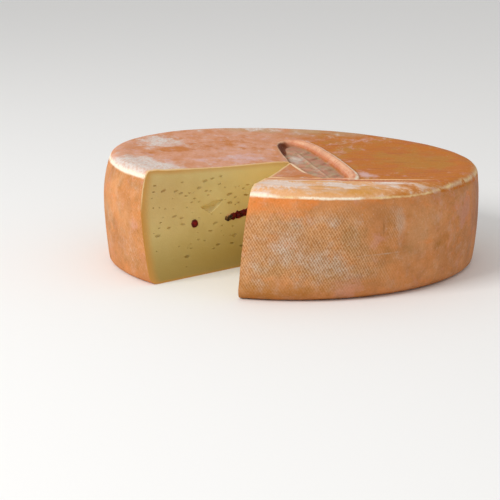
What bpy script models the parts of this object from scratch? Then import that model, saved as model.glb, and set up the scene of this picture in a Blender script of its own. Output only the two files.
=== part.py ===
"""A wheel of raclette cheese with peppercorns, from which one slice has been cut.

The wheel stands on its flat bottom with its axis on the Z axis, and the slice is missing towards
-X and -Y. It is one solid: rind and paste, the small holes of the paste, the sprig in an oval that
is pressed into the top, and the peppercorns that show in the two cuts.
"""

import math
import random

import bmesh
import bpy
from mathutils import Matrix, Vector

# Driving dimensions, in metres. A real wheel is uneven: each of these is the mean round the
# wheel, then what its +X side adds to the mean, then what its +Y side adds.
HEIGHT = (0.0804, -0.0059, -0.0011)
TOP_DRAW_IN = (0.0044, -0.0026, -0.0026)
BOTTOM_DRAW_IN = (0.0038, 0.0, 0.0)
TOP_SHOULDER = (0.0041, 0.0, 0.0)
BOTTOM_SHOULDER = (0.0024, 0.0005, -0.0070)
SMALLEST_SHOULDER = 0.0015

WHEEL_RADIUS = 0.150
BELLY_HEIGHT = 0.0485
TOP_DISH = 0.0037

# The oval field pressed into the top: its long axis turned from the Y axis, its edge's half sizes,
# and how square it is, from 2.0 for a plain oval upwards
FIELD_CENTRE = (0.0171, -0.0013)
FIELD_TURN = math.radians(12.2)
FIELD_HALF_WIDTH = 0.0184
FIELD_HALF_LENGTH = 0.0902
FIELD_SQUARENESS = 2.5
FIELD_DEPTH = 0.0042
FIELD_WALL = 0.0042

# The border raised round it, high on the side away from the slice and low on the near side
BORDER_WIDTH = 0.0055
BORDER_RISE = 0.0014
BORDER_LOW_RISE = 0.0003

# The sprig that stands in it: a stem with pairs of leaves
STEM_LENGTH = 0.146
STEM_WIDTH = 0.0036
LEAF_PAIRS = 5
LEAF_SPACING = 0.0255
LEAF_LENGTH = 0.0180
LEAF_WIDTH = 0.0072
LEAF_ANGLE = math.radians(42)
SPRIG_RISE = 0.0015

# The missing slice: where its two cuts meet, at the mean height of the top, their directions, and
# how far each leans from upright, both narrowing the gap towards the bottom
CUT_MEETING = (0.0026, 0.0011)
LEFT_CUT_ANGLE = math.radians(221.55)
RIGHT_CUT_ANGLE = math.radians(257.65)
LEFT_CUT_LEAN = math.radians(5.65)
RIGHT_CUT_LEAN = math.radians(6.54)

# Small holes of the paste
EYE_COUNT = 26
EYE_LENGTH = (0.0021, 0.0048)
EYE_FLATNESS = (0.42, 0.64)
EYE_DEPTH = 0.0011
EYE_SPACING = 0.0050
EYE_REACH = (0.036, 0.138)
EYE_HEIGHT = (0.010, 0.071)
EYE_TILT = math.radians(16)

# The torn hole of the left cut: a chip with its long edge on top, which lifts towards the rind
TEAR_REACH = 0.0875
TEAR_HEIGHT = 0.0524
TEAR_WIDTH = 0.0225
TEAR_DROP = 0.0074
TEAR_DEPTH = 0.0030
TEAR_TILT = math.radians(-7)

# Peppercorns: the single ones, as reach along the cut, height and share of the full diameter, and
# the runs of them, each in a hollow that it lines from end to end
CORN_DIAMETER = 0.0066
CORN_STANDS_PROUD = 0.0011
LEFT_CORNS = [(0.1036, 0.0401, 1.0)]
RIGHT_CORNS = [(0.1130, 0.0455, 0.95), (0.0610, 0.0385, 0.80)]
LEFT_RUN = {"reach": 0.0580, "height": 0.0412, "length": 0.0300, "tilt": math.radians(-3), "seed": 5}
RIGHT_RUN = {"reach": 0.0880, "height": 0.0395, "length": 0.0300, "tilt": math.radians(5), "seed": 8}
RUN_WIDTH = 0.0054
RUN_DEPTH = 0.0032
CORN_PITCH = 0.0050

TURN_STEPS = 80
OVAL_STEPS = 56
WALL_STEPS = 4
BORDER_SIDES = 8
BORDER_SUNK = 0.0003
MERGE_DISTANCE = 0.00002


def clear_scene():
    """Removes whatever the scene holds."""
    for obj in list(bpy.data.objects):
        bpy.data.objects.remove(obj, do_unlink=True)


def new_collection(name):
    """A collection in the scene."""
    made = bpy.data.collections.new(name)
    bpy.context.scene.collection.children.link(made)
    return made


def material(name, colour, roughness):
    """A food material: a Principled BSDF with no metal in it."""
    made = bpy.data.materials.new(name)
    made.use_nodes = True
    shader = made.node_tree.nodes["Principled BSDF"]
    shader.inputs["Base Color"].default_value = (*colour, 1.0)
    shader.inputs["Roughness"].default_value = roughness
    shader.inputs["Metallic"].default_value = 0.0
    return made


def new_object(name, mesh, collection):
    """An object of a mesh in a collection."""
    obj = bpy.data.objects.new(name, mesh)
    collection.objects.link(obj)
    return obj


def helper(obj):
    """Marks a cutter, or a piece that is joined to another, as no object of its own."""
    obj.hide_render = True
    obj.display_type = "WIRE"
    return obj


def apply_modifiers(obj):
    """Puts the object's modifiers into its mesh."""
    bpy.context.view_layer.update()
    evaluated = obj.evaluated_get(bpy.context.evaluated_depsgraph_get())
    mesh = bpy.data.meshes.new_from_object(evaluated)
    obj.modifiers.clear()
    obj.data = mesh


def boolean(obj, operation, other, solver="EXACT"):
    """A Boolean with another object, put into the mesh at once."""
    modifier = obj.modifiers.new(operation.title(), "BOOLEAN")
    modifier.operation = operation
    modifier.object = other
    modifier.solver = solver
    apply_modifiers(obj)


def turned(name, profile, steps, collection):
    """An object turned about Z from a profile of (radius, height) that runs top to bottom."""
    mesh = bpy.data.meshes.new(name)
    edges = [(i, i + 1) for i in range(len(profile) - 1)]
    mesh.from_pydata([(radius, 0.0, height) for radius, height in profile], edges, [])
    obj = new_object(name, mesh, collection)
    screw = obj.modifiers.new("Turn", "SCREW")
    screw.steps = steps
    screw.render_steps = steps
    screw.use_merge_vertices = True
    screw.merge_threshold = MERGE_DISTANCE
    apply_modifiers(obj)
    return obj


def at_angle(size, angle):
    """An uneven size at an angle round the wheel, or its mean where the angle is None."""
    mean, towards_x, towards_y = size
    if angle is None:
        return mean
    return mean + towards_x * math.cos(angle) + towards_y * math.sin(angle)


def side_radius(share, angle=None):
    """The wheel's radius at a share of its height, at an angle or of the mean wheel."""
    height = share * HEIGHT[0]
    top_shoulder = at_angle(TOP_SHOULDER, angle)
    bottom_shoulder = max(SMALLEST_SHOULDER, at_angle(BOTTOM_SHOULDER, angle))
    if height > BELLY_HEIGHT:
        off_belly = (height - BELLY_HEIGHT) / (HEIGHT[0] - BELLY_HEIGHT)
        radius = WHEEL_RADIUS - at_angle(TOP_DRAW_IN, angle) * off_belly**2
    else:
        off_belly = 1 - height / BELLY_HEIGHT
        radius = WHEEL_RADIUS - at_angle(BOTTOM_DRAW_IN, angle) * off_belly**2
    into_top = max(0.0, 1 - (HEIGHT[0] - height) / top_shoulder)
    into_bottom = max(0.0, 1 - height / bottom_shoulder)
    radius -= top_shoulder * (1 - math.sqrt(1 - into_top**2))
    return radius - bottom_shoulder * (1 - math.sqrt(1 - into_bottom**2))


def dished_height(radius):
    """The height of the mean wheel's slightly dished top at a radius."""
    return HEIGHT[0] - TOP_DISH * (1 - (radius / side_radius(1.0)) ** 2)


def height_scale(x, y):
    """How many times as tall as the mean wheel the uneven one is above a point."""
    return 1 + (HEIGHT[1] * x + HEIGHT[2] * y) / (WHEEL_RADIUS * HEIGHT[0])


def top_point(x, y):
    """The point of the uneven wheel's top above (x, y)."""
    return Vector((x, y, dished_height(math.hypot(x, y)) * height_scale(x, y)))


def side_shares():
    """Shares of the height for the side's points, top to bottom, closer on the shoulders."""
    arc = [math.sin(math.radians(angle)) for angle in (90, 66, 42, 20, 0)]
    widest = BOTTOM_SHOULDER[0] - BOTTOM_SHOULDER[2]
    top = [1 - TOP_SHOULDER[0] / HEIGHT[0] * (1 - s) for s in arc]
    bottom = [widest / HEIGHT[0] * (1 - s) for s in reversed(arc)]
    rings = 6
    step = (bottom[0] - top[-1]) / rings
    return top + [top[-1] + step * i for i in range(1, rings)] + bottom


def turned_wheel(collection):
    """The whole wheel: turned from the mean profile, then settled into its uneven shape."""
    rim = side_radius(1.0)
    profile = [(rim * share, dished_height(rim * share)) for share in (0.0, 0.25, 0.5, 0.7, 0.88)]
    profile += [(side_radius(share), share * HEIGHT[0]) for share in side_shares()]
    profile += [(side_radius(0.0) * share, 0.0) for share in (0.5, 0.0)]
    wheel = turned("cheese_wheel", profile, TURN_STEPS, collection)
    for vertex in wheel.data.vertices:
        x, y, z = vertex.co
        share = min(1.0, z / HEIGHT[0])
        stretch = side_radius(share, math.atan2(y, x)) / side_radius(share)
        vertex.co = (x * stretch, y * stretch, z * height_scale(x, y))
    return wheel


def field_point(across, ahead, raised):
    """The point above or below the top at distances along the oval field's short and long axes."""
    x = FIELD_CENTRE[0] + across * math.cos(FIELD_TURN) - ahead * math.sin(FIELD_TURN)
    y = FIELD_CENTRE[1] + across * math.sin(FIELD_TURN) + ahead * math.cos(FIELD_TURN)
    return top_point(x, y) + Vector((0.0, 0.0, raised))


def oval_point(half_width, half_length, step, raised):
    """One of the points above or below the top on an oval round the field's centre."""
    turn = 2 * math.pi * step / OVAL_STEPS
    across, ahead = (
        math.copysign(abs(share) ** (2 / FIELD_SQUARENESS), share)
        for share in (math.cos(turn), math.sin(turn))
    )
    return field_point(half_width * across, half_length * ahead, raised)


def oval(half_width, half_length, raised):
    """A ring of points above or below the top on an oval round the field's centre."""
    return [oval_point(half_width, half_length, step, raised) for step in range(OVAL_STEPS)]


def add_band(bm, ring, next_ring):
    """Adds the faces between two rings of points of a mesh."""
    for i in range(len(ring)):
        following = (i + 1) % len(ring)
        bm.faces.new((ring[i], ring[following], next_ring[following], next_ring[i]))


def finished_mesh(bm, name):
    """A mesh from a closed form, with its faces turned outwards."""
    bmesh.ops.recalc_face_normals(bm, faces=bm.faces)
    mesh = bpy.data.meshes.new(name)
    bm.to_mesh(mesh)
    bm.free()
    return mesh


def press_field(wheel, cutters):
    """Sinks the oval field into the top, with walls that run in softly to its floor."""
    above = 0.003
    rings = [oval(FIELD_HALF_WIDTH + above, FIELD_HALF_LENGTH + above, above)]
    for step in range(WALL_STEPS + 1):
        inset = FIELD_WALL * step / WALL_STEPS
        sunk = FIELD_DEPTH * (1 - math.cos(math.pi * step / WALL_STEPS)) / 2
        rings.append(oval(FIELD_HALF_WIDTH - inset, FIELD_HALF_LENGTH - inset, -sunk))
    floor = (FIELD_HALF_WIDTH - FIELD_WALL, FIELD_HALF_LENGTH - FIELD_WALL)
    rings += [oval(floor[0] * share, floor[1] * share, -FIELD_DEPTH) for share in (0.7, 0.35)]
    bm = bmesh.new()
    rows = [[bm.verts.new(point) for point in ring] for ring in rings]
    for row, next_row in zip(rows, rows[1:]):
        add_band(bm, row, next_row)
    for row, raised in ((rows[0], above), (rows[-1], -FIELD_DEPTH)):
        middle = bm.verts.new(field_point(0.0, 0.0, raised))
        for i in range(OVAL_STEPS):
            bm.faces.new((row[i], row[(i + 1) % OVAL_STEPS], middle))
    field = helper(new_object("field", finished_mesh(bm, "field"), cutters))
    boolean(wheel, "DIFFERENCE", field)


def raise_border(wheel, cutters):
    """Raises the border round the field: a flat ring, half sunk in the top."""
    bm = bmesh.new()
    sections = []
    for step in range(OVAL_STEPS):
        away = (1 + math.cos(2 * math.pi * step / OVAL_STEPS)) / 2
        rise = BORDER_LOW_RISE + (BORDER_RISE - BORDER_LOW_RISE) * away
        section = []
        for corner in range(BORDER_SIDES):
            round_it = 2 * math.pi * corner / BORDER_SIDES
            grown = BORDER_WIDTH / 2 * (1 + math.cos(round_it)) - BORDER_SUNK
            size = (FIELD_HALF_WIDTH + grown, FIELD_HALF_LENGTH + grown)
            raised = (rise + BORDER_SUNK) * math.sin(round_it) - BORDER_SUNK
            section.append(bm.verts.new(oval_point(*size, step, raised)))
        sections.append(section)
    for step in range(OVAL_STEPS):
        add_band(bm, sections[step], sections[(step + 1) % OVAL_STEPS])
    border = helper(new_object("border", finished_mesh(bm, "border"), cutters))
    boolean(wheel, "UNION", border)


def on_floor(across, ahead, turn):
    """Axes on the field's floor, with X turned from the field's long axis towards its short one."""
    direction = field_point(math.sin(turn), math.cos(turn), 0.0) - field_point(0.0, 0.0, 0.0)
    heading = Matrix.Rotation(math.atan2(direction.y, direction.x), 4, "Z")
    return Matrix.Translation(field_point(across, ahead, -FIELD_DEPTH)) @ heading


def sprig(collection):
    """The stem and the leaves that stand in the field: low balls half sunk in its floor."""
    radii = (STEM_LENGTH / 2, STEM_WIDTH / 2, SPRIG_RISE)
    add_fused("stem", on_floor(0.0, 0.0, 0.0), radii, 24, 6, collection)
    for pair in range(LEAF_PAIRS):
        from_middle = LEAF_SPACING * (pair - (LEAF_PAIRS - 1) / 2)
        size = math.sqrt(1 - (from_middle / FIELD_HALF_LENGTH) ** 2)
        reach = size * LEAF_LENGTH / 2
        for side in (-1, 1):
            across = side * (reach * math.sin(LEAF_ANGLE) + STEM_WIDTH / 4)
            ahead = from_middle + reach * math.cos(LEAF_ANGLE)
            place = on_floor(across, ahead, side * LEAF_ANGLE)
            radii = (reach, size * LEAF_WIDTH / 2, SPRIG_RISE)
            add_fused(f"leaf_{pair + 1}_{side}", place, radii, 14, 8, collection)


class Cut:
    """One cut face: a leaning plane through the line where the two cuts meet."""

    def __init__(self, name, angle, lean, gap_side):
        """gap_side is +1 where the gap lies at larger angles than the cut, and -1 otherwise."""
        self.name = name
        self.gap_side = gap_side
        self.along = Vector((math.cos(angle), math.sin(angle), 0.0))
        across = Vector((-math.sin(angle), math.cos(angle), 0.0)) * gap_side
        upright = Vector((0.0, 0.0, 1.0))
        self.meeting = Vector((*CUT_MEETING, HEIGHT[0] - TOP_DISH))
        self.up = (upright - across * math.tan(lean)).normalized()
        self.normal = (across + upright * math.tan(lean)).normalized()

    def place(self, reach, height, tilt=0.0, sink=0.0):
        """Axes on the cut at a distance along it and a height: Y up the cut, Z out of the paste.

        The tilt lifts what lies there towards the rind, and the sink moves it into the paste.
        """
        point = self.meeting + self.along * reach
        point += self.up * ((height - self.meeting.z) / self.up.z) - self.normal * sink
        axes = Matrix((self.up.cross(self.normal), self.up, self.normal)).transposed().to_4x4()
        return Matrix.Translation(point) @ axes @ Matrix.Rotation(-tilt * self.gap_side, 4, "Z")


LEFT_CUT = Cut("left", LEFT_CUT_ANGLE, LEFT_CUT_LEAN, 1)
RIGHT_CUT = Cut("right", RIGHT_CUT_ANGLE, RIGHT_CUT_LEAN, -1)


def space_beyond(cut, cutters):
    """A large box with one face in the cut's plane, on the side of the gap."""
    size = 4 * WHEEL_RADIUS
    bm = bmesh.new()
    bmesh.ops.create_cube(bm, size=size, matrix=cut.place(0.0, 0.0, sink=-size / 2))
    mesh = bpy.data.meshes.new(f"beyond_{cut.name}_cut")
    bm.to_mesh(mesh)
    bm.free()
    return helper(new_object(mesh.name, mesh, cutters))


def cut_out_slice(wheel, cutters):
    """Takes the slice out: the space that lies beyond both cuts.

    The border crosses the line where they meet, and the exact solver leaves open edges there.
    """
    gap = space_beyond(LEFT_CUT, cutters)
    boolean(gap, "INTERSECT", space_beyond(RIGHT_CUT, cutters))
    boolean(wheel, "DIFFERENCE", gap, "MANIFOLD")


def run_of_corns(run):
    """Corns of one run, as reach, height and share of the diameter, close together in its hollow."""
    draw = random.Random(run["seed"])
    count = round(run["length"] / CORN_PITCH)
    corns = []
    for number in range(count):
        along = run["length"] * ((number + 0.5) / count - 0.5)
        reach = run["reach"] + along * math.cos(run["tilt"])
        height = run["height"] + along * math.sin(run["tilt"]) + draw.uniform(-0.0006, 0.0006)
        corns.append((reach, height, draw.uniform(0.64, 0.90)))
    return corns


def eyes(seed, kept_clear):
    """Holes of one cut, as reach, height, length, flatness and tilt, most of them above its middle.

    kept_clear lists what they stay away from, as reach, height and radius.
    """
    draw = random.Random(seed)
    taken = list(kept_clear)
    made = []
    while len(made) < EYE_COUNT:
        reach = draw.uniform(*EYE_REACH)
        height = EYE_HEIGHT[0] + (EYE_HEIGHT[1] - EYE_HEIGHT[0]) * draw.betavariate(2.0, 1.4)
        length = EYE_LENGTH[0] + (EYE_LENGTH[1] - EYE_LENGTH[0]) * draw.random() ** 2
        flatness = draw.uniform(*EYE_FLATNESS)
        tilt = draw.gauss(0.0, EYE_TILT)
        if all(math.hypot(reach - r, height - h) > EYE_SPACING + radius for r, h, radius in taken):
            made.append((reach, height, length, flatness, tilt))
            taken.append((reach, height, length / 2))
    return made


def add_ball(bm, place, radii, segments, rings):
    """Adds a ball with three radii at a place."""
    matrix = place @ Matrix.Diagonal((*radii, 1.0))
    bmesh.ops.create_uvsphere(bm, u_segments=segments, v_segments=rings, radius=1.0, matrix=matrix)


def add_hollows(bm, cut, seed, corns, run, kept_clear):
    """Adds one cut's holes and the hollow round its run of corns."""
    clear = kept_clear + [(reach, height, CORN_DIAMETER / 2) for reach, height, _ in corns]
    for share in (-0.5, -0.25, 0.0, 0.25, 0.5):
        clear.append((run["reach"] + share * run["length"], run["height"], RUN_WIDTH / 2))
    for reach, height, length, flatness, tilt in eyes(seed, clear):
        radii = (length / 2, length / 2 * flatness, EYE_DEPTH)
        add_ball(bm, cut.place(reach, height, tilt), radii, 8, 6)
    radii = (run["length"] / 2, RUN_WIDTH / 2, RUN_DEPTH)
    add_ball(bm, cut.place(run["reach"], run["height"], run["tilt"]), radii, 16, 8)


def add_tear(bm):
    """Adds the torn hole: a shallow three-cornered chip that hangs from its long top edge."""
    middle = LEFT_CUT.place(TEAR_REACH, TEAR_HEIGHT - TEAR_DROP / 3, TEAR_TILT)
    size = Matrix.Diagonal((TEAR_WIDTH / math.sqrt(3), TEAR_DROP / 1.5, TEAR_DEPTH, 1.0))
    point_down = Matrix.Rotation(math.radians(180), 4, "Z")
    bmesh.ops.create_cone(
        bm, cap_ends=True, segments=3, radius1=0.45, radius2=1.55, depth=2.0,
        matrix=middle @ size @ point_down,
    )


def hollow_out(wheel, cutters):
    """Cuts everything that goes into the two cut faces, by the solver that made them."""
    bm = bmesh.new()
    tear = [(TEAR_REACH + share * TEAR_WIDTH, TEAR_HEIGHT, 0.0035) for share in (-0.4, 0.0, 0.4)]
    add_hollows(bm, LEFT_CUT, 11, LEFT_CORNS, LEFT_RUN, tear)
    add_hollows(bm, RIGHT_CUT, 23, RIGHT_CORNS, RIGHT_RUN, [])
    add_tear(bm)
    mesh = bpy.data.meshes.new("hollows")
    bm.to_mesh(mesh)
    bm.free()
    boolean(wheel, "DIFFERENCE", helper(new_object("hollows", mesh, cutters)), "MANIFOLD")


def peppercorns(collection):
    """The peppercorns of both cuts, each sunk so far that only its front stands proud."""
    for cut, corns, run in ((LEFT_CUT, LEFT_CORNS, LEFT_RUN), (RIGHT_CUT, RIGHT_CORNS, RIGHT_RUN)):
        for number, (reach, height, share) in enumerate(corns + run_of_corns(run)):
            radius = share * CORN_DIAMETER / 2
            place = cut.place(reach, height, sink=radius - CORN_STANDS_PROUD)
            add_fused(f"corn_{cut.name}_{number + 1}", place, [radius] * 3, 9, 6, collection)


def add_fused(name, place, radii, segments, rings, collection):
    """Adds a ball to the pieces that are joined to the wheel."""
    bm = bmesh.new()
    add_ball(bm, place, radii, segments, rings)
    mesh = bpy.data.meshes.new(name)
    bm.to_mesh(mesh)
    bm.free()
    helper(new_object(name, mesh, collection))


def fuse(wheel, collection):
    """Joins a collection's pieces to the wheel with one union, and removes them."""
    union = wheel.modifiers.new("Fuse", "BOOLEAN")
    union.operation = "UNION"
    union.operand_type = "COLLECTION"
    union.collection = collection
    union.solver = "MANIFOLD"
    apply_modifiers(wheel)
    for obj in list(collection.objects):
        bpy.data.objects.remove(obj, do_unlink=True)
    bpy.data.collections.remove(collection)


def build():
    """Builds the cheese."""
    clear_scene()
    parts = new_collection("peppercorn_raclette")
    cutters = new_collection("cutters")
    fused = new_collection("fused")
    wheel = turned_wheel(parts)
    press_field(wheel, cutters)
    raise_border(wheel, cutters)
    cut_out_slice(wheel, cutters)
    hollow_out(wheel, cutters)
    sprig(fused)
    peppercorns(fused)
    fuse(wheel, fused)
    wheel.data.materials.clear()
    wheel.data.materials.append(material("rind_and_paste", (0.60, 0.31, 0.13), 0.6))
    wheel.data.shade_smooth()
    wheel.data.set_sharp_from_angle(angle=math.radians(35))


build()
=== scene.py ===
"""The looks of a wheel of raclette cheese with peppercorns, from which one slice has been cut.

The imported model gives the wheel's place and size. Here the wheel is modelled again in full
detail, from the same named sizes, with its cloth-marked rind, the paste of its two cuts, the
holes in the paste and the peppercorns, and it stands in a plain studio.
"""

import logging
import math
import random
from dataclasses import dataclass, field
from enum import Enum

import bpy
import numpy as np
from mathutils import Matrix, Vector


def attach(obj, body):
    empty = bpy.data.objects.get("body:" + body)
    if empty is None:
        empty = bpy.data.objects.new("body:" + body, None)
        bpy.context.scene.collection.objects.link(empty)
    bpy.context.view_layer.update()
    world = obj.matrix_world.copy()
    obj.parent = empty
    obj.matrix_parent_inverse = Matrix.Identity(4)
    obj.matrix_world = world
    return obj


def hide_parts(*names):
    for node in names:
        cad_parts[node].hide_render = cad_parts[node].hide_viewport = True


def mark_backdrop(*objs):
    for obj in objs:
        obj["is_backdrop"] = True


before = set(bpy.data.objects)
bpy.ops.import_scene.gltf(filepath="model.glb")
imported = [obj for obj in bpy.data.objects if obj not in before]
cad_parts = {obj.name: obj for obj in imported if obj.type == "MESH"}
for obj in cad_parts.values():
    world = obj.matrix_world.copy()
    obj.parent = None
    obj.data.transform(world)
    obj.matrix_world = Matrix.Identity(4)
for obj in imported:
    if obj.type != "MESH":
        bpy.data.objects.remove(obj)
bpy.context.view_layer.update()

LOG = logging.getLogger("raclette")
NODE = "cheese_wheel"
BODY = "root"
MM = 0.001
TAU = 2 * math.pi


def linear(red: int, green: int, blue: int) -> tuple[float, float, float, float]:
    """Turns a screen colour into the linear one that a shader takes.

    Args:
        red: Red, from 0 to 255.
        green: Green, from 0 to 255.
        blue: Blue, from 0 to 255.

    Returns:
        The colour as linear red, green, blue and an alpha of 1.
    """
    def channel(value: int) -> float:
        share = value / 255
        return share / 12.92 if share <= 0.04045 else ((share + 0.055) / 1.055) ** 2.4

    return channel(red), channel(green), channel(blue), 1.0


def smooth(start: float, end: float, value: np.ndarray) -> np.ndarray:
    """Runs softly from 0 at start to 1 at end, which may lie either way round."""
    share = np.clip((value - start) / (end - start), 0.0, 1.0)
    return share * share * (3 - 2 * share)


def hump(distance: np.ndarray, width: float) -> np.ndarray:
    """A soft hump of height 1 that falls away over a width on each side."""
    return np.exp(-((distance / width) ** 2))


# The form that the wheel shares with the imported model

@dataclass(frozen=True)
class Uneven:
    """A size that varies round the wheel.

    Attributes:
        mean: The mean round the wheel.
        towards_x: What the +X side adds to it.
        towards_y: What the +Y side adds to it.
    """

    mean: float
    towards_x: float = 0.0
    towards_y: float = 0.0

    def at(self, angle: np.ndarray | None) -> np.ndarray | float:
        """The size at angles round the wheel, or the mean where the angle is None."""
        if angle is None:
            return self.mean
        return self.mean + self.towards_x * np.cos(angle) + self.towards_y * np.sin(angle)


@dataclass(frozen=True)
class WheelForm:
    """The wheel's outer form, before anything is cut or pressed into it."""

    radius: float = 0.150
    belly_height: float = 0.0485
    height: Uneven = Uneven(0.0804, -0.0059, -0.0011)
    top_draw_in: Uneven = Uneven(0.0044, -0.0026, -0.0026)
    bottom_draw_in: Uneven = Uneven(0.0038)
    top_shoulder: Uneven = Uneven(0.0041)
    bottom_shoulder: Uneven = Uneven(0.0024, 0.0005, -0.0070)
    smallest_shoulder: float = 0.0015
    top_dish: float = 0.0037

    def side_radius(self, share: np.ndarray, angle: np.ndarray | None = None) -> np.ndarray:
        """The side's radius.

        Args:
            share: Shares of the wheel's height.
            angle: Angles round the wheel, or None for the mean wheel.

        Returns:
            The radius at each of them.
        """
        height = np.asarray(share) * self.height.mean
        above = (height - self.belly_height) / (self.height.mean - self.belly_height)
        below = 1 - height / self.belly_height
        drawn = np.where(
            above > 0, self.top_draw_in.at(angle) * above**2, self.bottom_draw_in.at(angle) * below**2
        )
        top = self.top_shoulder.at(angle)
        bottom = np.maximum(self.smallest_shoulder, self.bottom_shoulder.at(angle))
        into_top = np.clip(1 - (self.height.mean - height) / top, 0, 1)
        into_bottom = np.clip(1 - height / bottom, 0, 1)
        rounded = top * (1 - np.sqrt(1 - into_top**2)) + bottom * (1 - np.sqrt(1 - into_bottom**2))
        return self.radius - drawn - rounded

    def dished_height(self, radius: np.ndarray) -> np.ndarray:
        """The height of the mean wheel's dished top at radii."""
        rim = self.side_radius(1.0)
        return self.height.mean - self.top_dish * (1 - (np.asarray(radius) / rim) ** 2)

    def height_scale(self, x: np.ndarray, y: np.ndarray) -> np.ndarray:
        """How many times as tall as the mean wheel the uneven one is above points."""
        added = self.height.towards_x * x + self.height.towards_y * y
        return 1 + added / (self.radius * self.height.mean)

    def top_height(self, x: np.ndarray, y: np.ndarray) -> np.ndarray:
        """The height of the uneven wheel's top above points."""
        return self.dished_height(np.hypot(x, y)) * self.height_scale(x, y)

    def rim_height(self, angle: np.ndarray) -> np.ndarray:
        """The height of the top's edge at angles."""
        return self.height.mean * self.height_scale(
            self.radius * np.cos(angle), self.radius * np.sin(angle)
        )


FORM = WheelForm()


class Side(Enum):
    """The two cuts, as the camera sees them, and on which side of each the gap lies."""

    LEFT = 1
    RIGHT = -1


@dataclass(frozen=True)
class Cut:
    """One cut face: a leaning plane through the line where the two cuts meet.

    Attributes:
        side: Which cut it is.
        angle: The direction it runs out in.
        lean: How far it leans from upright, narrowing the gap towards the bottom.
        meeting: Where the cuts meet at the top.
    """

    side: Side
    angle: float
    lean: float
    meeting: tuple[float, float, float] = (0.0026, 0.0011, FORM.height.mean - FORM.top_dish)

    @property
    def along(self) -> Vector:
        """The level direction in which the cut runs out to the rind."""
        return Vector((math.cos(self.angle), math.sin(self.angle), 0.0))

    @property
    def across(self) -> Vector:
        """The level direction square to the cut, into the gap."""
        return Vector((-math.sin(self.angle), math.cos(self.angle), 0.0)) * self.side.value

    @property
    def normal(self) -> Vector:
        """The direction in which the cut faces."""
        return (self.across + Vector((0, 0, math.tan(self.lean)))).normalized()

    @property
    def up(self) -> Vector:
        """The direction up the cut."""
        return (Vector((0, 0, 1)) - self.across * math.tan(self.lean)).normalized()

    def place(self, reach: float, height: float, tilt: float = 0.0, sink: float = 0.0) -> Matrix:
        """Axes on the cut, with Y up the cut and Z out of the paste.

        Args:
            reach: The distance along the cut from where the cuts meet.
            height: The height above the bottom.
            tilt: How far what lies there lifts towards the rind, in radians.
            sink: How deep it lies in the paste.

        Returns:
            The matrix of those axes.
        """
        meeting = Vector(self.meeting)
        point = meeting + self.along * reach - self.normal * sink
        point += self.up * ((height - meeting.z) / self.up.z)
        axes = Matrix((self.up.cross(self.normal), self.up, self.normal)).transposed().to_4x4()
        return Matrix.Translation(point) @ axes @ Matrix.Rotation(-tilt * self.side.value, 4, "Z")


CUTS = {
    Side.LEFT: Cut(Side.LEFT, math.radians(221.55), math.radians(5.65)),
    Side.RIGHT: Cut(Side.RIGHT, math.radians(257.65), math.radians(6.54)),
}


# Work with Blender's operators

def start_clean() -> None:
    """Leaves edit mode and selects nothing."""
    if bpy.context.object and bpy.context.object.mode != "OBJECT":
        bpy.ops.object.mode_set(mode="OBJECT")
    for obj in bpy.context.selected_objects:
        obj.select_set(False)


def choose(*objects: bpy.types.Object) -> None:
    """Selects objects alone, with the first one active."""
    start_clean()
    for obj in objects:
        obj.select_set(True)
    bpy.context.view_layer.objects.active = objects[0]


def apply_all(obj: bpy.types.Object) -> None:
    """Applies every modifier of an object, in order."""
    choose(obj)
    for modifier in list(obj.modifiers):
        bpy.ops.object.modifier_apply(modifier=modifier.name)


def settle_place(obj: bpy.types.Object) -> None:
    """Puts an object's place, turn and size into its mesh."""
    choose(obj)
    bpy.ops.object.transform_apply(location=True, rotation=True, scale=True)


def boolean(obj: bpy.types.Object, operation: str, other: bpy.types.Object) -> None:
    """Cuts or joins an object with another, which is then removed.

    Args:
        obj: The object that is changed.
        operation: DIFFERENCE, UNION or INTERSECT.
        other: The object that it is cut or joined with. The new faces take its material.
    """
    modifier = obj.modifiers.new(operation.title(), "BOOLEAN")
    modifier.operation = operation
    modifier.object = other
    modifier.material_mode = "TRANSFER"
    apply_all(obj)
    bpy.data.objects.remove(other, do_unlink=True)


def roughen(obj: bpy.types.Object, size: float, strength: float, finer: int = 1, group: str = "") -> None:
    """Adds low humps and hollows to a surface.

    Args:
        obj: The object.
        size: The size of the humps.
        strength: The height from the lowest to the highest points.
        finer: How many finer layers they have.
        group: The vertex group that they are limited to, or an empty string.
    """
    texture = bpy.data.textures.new(f"{obj.name}_unevenness", "CLOUDS")
    texture.noise_scale = size
    texture.noise_depth = finer
    texture.noise_basis = "ORIGINAL_PERLIN"
    displace = obj.modifiers.new("Unevenness", "DISPLACE")
    displace.texture = texture
    displace.texture_coords = "LOCAL"
    displace.strength = strength
    displace.mid_level = 0.5
    displace.vertex_group = group


def uneven_ball(name: str, detail: int, *humps: tuple, turn: float = 0.0) -> bpy.types.Object:
    """A ball of radius 1 with an uneven surface.

    Args:
        name: Its name.
        detail: How finely it is divided.
        humps: The size, strength and finer layers of each unevenness that it gets.
        turn: Its turn about Y before it gets them, in radians, which tells one from another.

    Returns:
        The ball.
    """
    start_clean()
    bpy.ops.mesh.primitive_ico_sphere_add(subdivisions=detail, radius=1.0)
    ball = bpy.context.object
    ball.name = name
    ball.data.transform(Matrix.Rotation(turn, 4, "Y"))
    for hump_size in humps:
        roughen(ball, *hump_size)
    apply_all(ball)
    return ball


def joined(name: str, meshes: list[bpy.types.Mesh]) -> bpy.types.Object:
    """Joins meshes, with their places in them, into one object.

    Args:
        name: The object's name.
        meshes: The meshes.

    Returns:
        The object.
    """
    copies = []
    for mesh in meshes:
        copies.append(bpy.data.objects.new(name, mesh))
        bpy.context.scene.collection.objects.link(copies[-1])
    choose(*copies)
    bpy.ops.object.join()
    return bpy.context.object


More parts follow.
